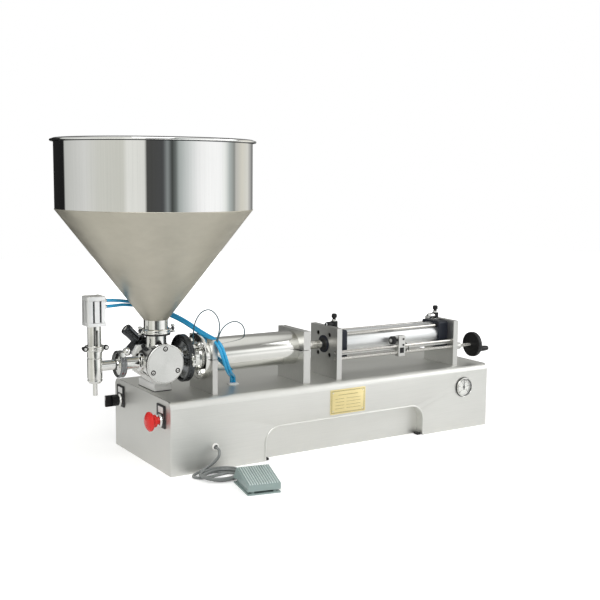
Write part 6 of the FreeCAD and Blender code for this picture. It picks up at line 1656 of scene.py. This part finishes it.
class FILLER_OT_actuator(bpy.types.Operator):
    """Adds the dark barrel of the slanted valve actuator with its end cap and ribs"""
    bl_idname = "filler.actuator"
    bl_label = "Valve Actuator"

    def execute(self, context):
        low, high = (np.array(corner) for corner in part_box("actuator_barrel"))
        slope = math.sqrt(0.5)
        along = np.array((-slope, 0, slope))
        # The barrel's two end centres lie one radius, turned by 45 degrees, inside its box
        inset = 12 * MM * slope
        start = np.array((high[0] - inset, (low[1] + high[1]) / 2, low[2] + inset))
        skin = Skin()
        lathe(skin, rounded((
            (0, 0, 0), (0, 12, 0.5), (2.4, 12, 0.3), (2.6, 11.2, 0.2), (26.4, 11.2, 0.2), (26.6, 12, 0.3),
            (35.4, 12, 1.6), (37, 10, 1.2), (37, 0, 0)), 4), start, along, 0, sides=64)
        lathe(skin, rounded(((36.6, 3.2, 0), (36.6, 5.2, 0.3), (38.0, 4.8, 0.4), (38.0, 0, 0)), 3), start, along, 1,
              sides=32)
        finished("actuator_barrel_ribbed", skin, "machine", ("dark", "polished"),
                 ("actuator_barrel",))
        return {"FINISHED"}


class FILLER_OT_panel_fittings(bpy.types.Operator):
    """Adds the white tube gland, the cord's grommet and the air supply fitting at the back"""
    bl_idname = "filler.panel_fittings"
    bl_label = "Panel Fittings"

    def execute(self, context):
        gland = middle("air_tube_gland")
        skin = Skin()
        lathe(skin, [(-6, 0), (-6, 7.7), (0, 7.7), (0.0, 11.4, 6), (0.5, 11.7, 6), (2.4, 11.7, 6), (3.0, 11.0),
                     (4.4, 9.6), (4.6, 8.6), (4.2, 7.9), (3.4, 0)], (gland[0], gland[1], TOP), (0, 0, 1), sides=60)
        finished("tube_gland_nut", skin, "machine", ("white",), ("air_tube_gland",))
        ring = Skin()
        lathe(ring, soft(((-4, 4.6), (-4, 5.9), (0, 5.9), (0, 8.0), (1.6, 8.0), (2.6, 7.0), (3.4, 6.6), (3.8, 5.4),
                          (3.0, 4.6), (-4, 4.6)), 0.4), (CABLE_X, FRONT, 50 * MM), (0, -1, 0), sides=56)
        # A dark ring inside the grommet's bore, round the cord: painted shade in the hole
        lathe(ring, ((-1, 4.7), (0.6, 4.7), (0.6, 3.0)), (CABLE_X, FRONT, 50 * MM), (0, -1, 0), 1, sides=40)
        finished("cord_grommet_ridged", ring, "machine", ("white", "rubber"),
                 ("cable_grommet",))
        inlet = middle("air_inlet")
        at = (inlet[0], -FRONT - 2 * MM, inlet[2])
        pipe = Skin()
        lathe(pipe, [(-14, 4), (-14, 8), (2, 8), (2.0, 10.6, 6), (2.5, 10.8, 6), (7.5, 10.8, 6), (8.0, 10.2),
                     (8.2, 8.4), (20, 8.4), (20.6, 7.8), (20.6, 4.0)], at, (0, 1, 0), 0, sides=60)
        lathe(pipe, soft(((20.0, 4.0), (20.0, 7.2), (22, 7.2), (22, 4.0)), 0.4), at, (0, 1, 0), 1, sides=48)
        finished("air_supply_fitting", pipe, "machine", ("brass", "blue"), ("air_inlet",))
        return {"FINISHED"}


OPERATORS = (
    FILLER_OT_stage, FILLER_OT_kept_nodes, FILLER_OT_pedal_cord, FILLER_OT_air_tubes, FILLER_OT_hopper,
    FILLER_OT_pipe_clamps, FILLER_OT_valve, FILLER_OT_fasteners, FILLER_OT_dressed_plates,
    FILLER_OT_base_trim, FILLER_OT_treadle_ribs,
    FILLER_OT_cylinders, FILLER_OT_stroke_setting, FILLER_OT_handwheel, FILLER_OT_flow_controls,
    FILLER_OT_gauge, FILLER_OT_switches, FILLER_OT_nameplate, FILLER_OT_nozzle, FILLER_OT_actuator,
    FILLER_OT_panel_fittings)
GROUPS = (FillerStageSettings, FillerCordSettings, FillerTrimSettings)


class FILLER_PT_panel(bpy.types.Panel):
    """Lists the operators and the settings in the sidebar"""
    bl_idname = "FILLER_PT_panel"
    bl_label = "Piston Filler"
    bl_space_type = "VIEW_3D"
    bl_region_type = "UI"
    bl_category = "Filler"

    def draw(self, context):
        for operator in OPERATORS:
            self.layout.operator(operator.bl_idname)
        for group in (context.scene.filler_stage, context.scene.filler_cords, context.scene.filler_trim):
            for name in group.bl_rna.properties.keys():
                if name not in ("rna_type", "name"):
                    self.layout.prop(group, name)


def register():
    for cls in GROUPS + OPERATORS + (FILLER_PT_panel,):
        bpy.utils.register_class(cls)
    bpy.types.Scene.filler_stage = PointerProperty(type=FillerStageSettings)
    bpy.types.Scene.filler_cords = PointerProperty(type=FillerCordSettings)
    bpy.types.Scene.filler_trim = PointerProperty(type=FillerTrimSettings)


def unregister():
    del bpy.types.Scene.filler_trim
    del bpy.types.Scene.filler_cords
    del bpy.types.Scene.filler_stage
    for cls in reversed(GROUPS + OPERATORS + (FILLER_PT_panel,)):
        bpy.utils.unregister_class(cls)


def main():
    register()
    for operator in OPERATORS:
        group, name = operator.bl_idname.split(".")
        getattr(getattr(bpy.ops, group), name)()


if __name__ == "__main__":
    main()
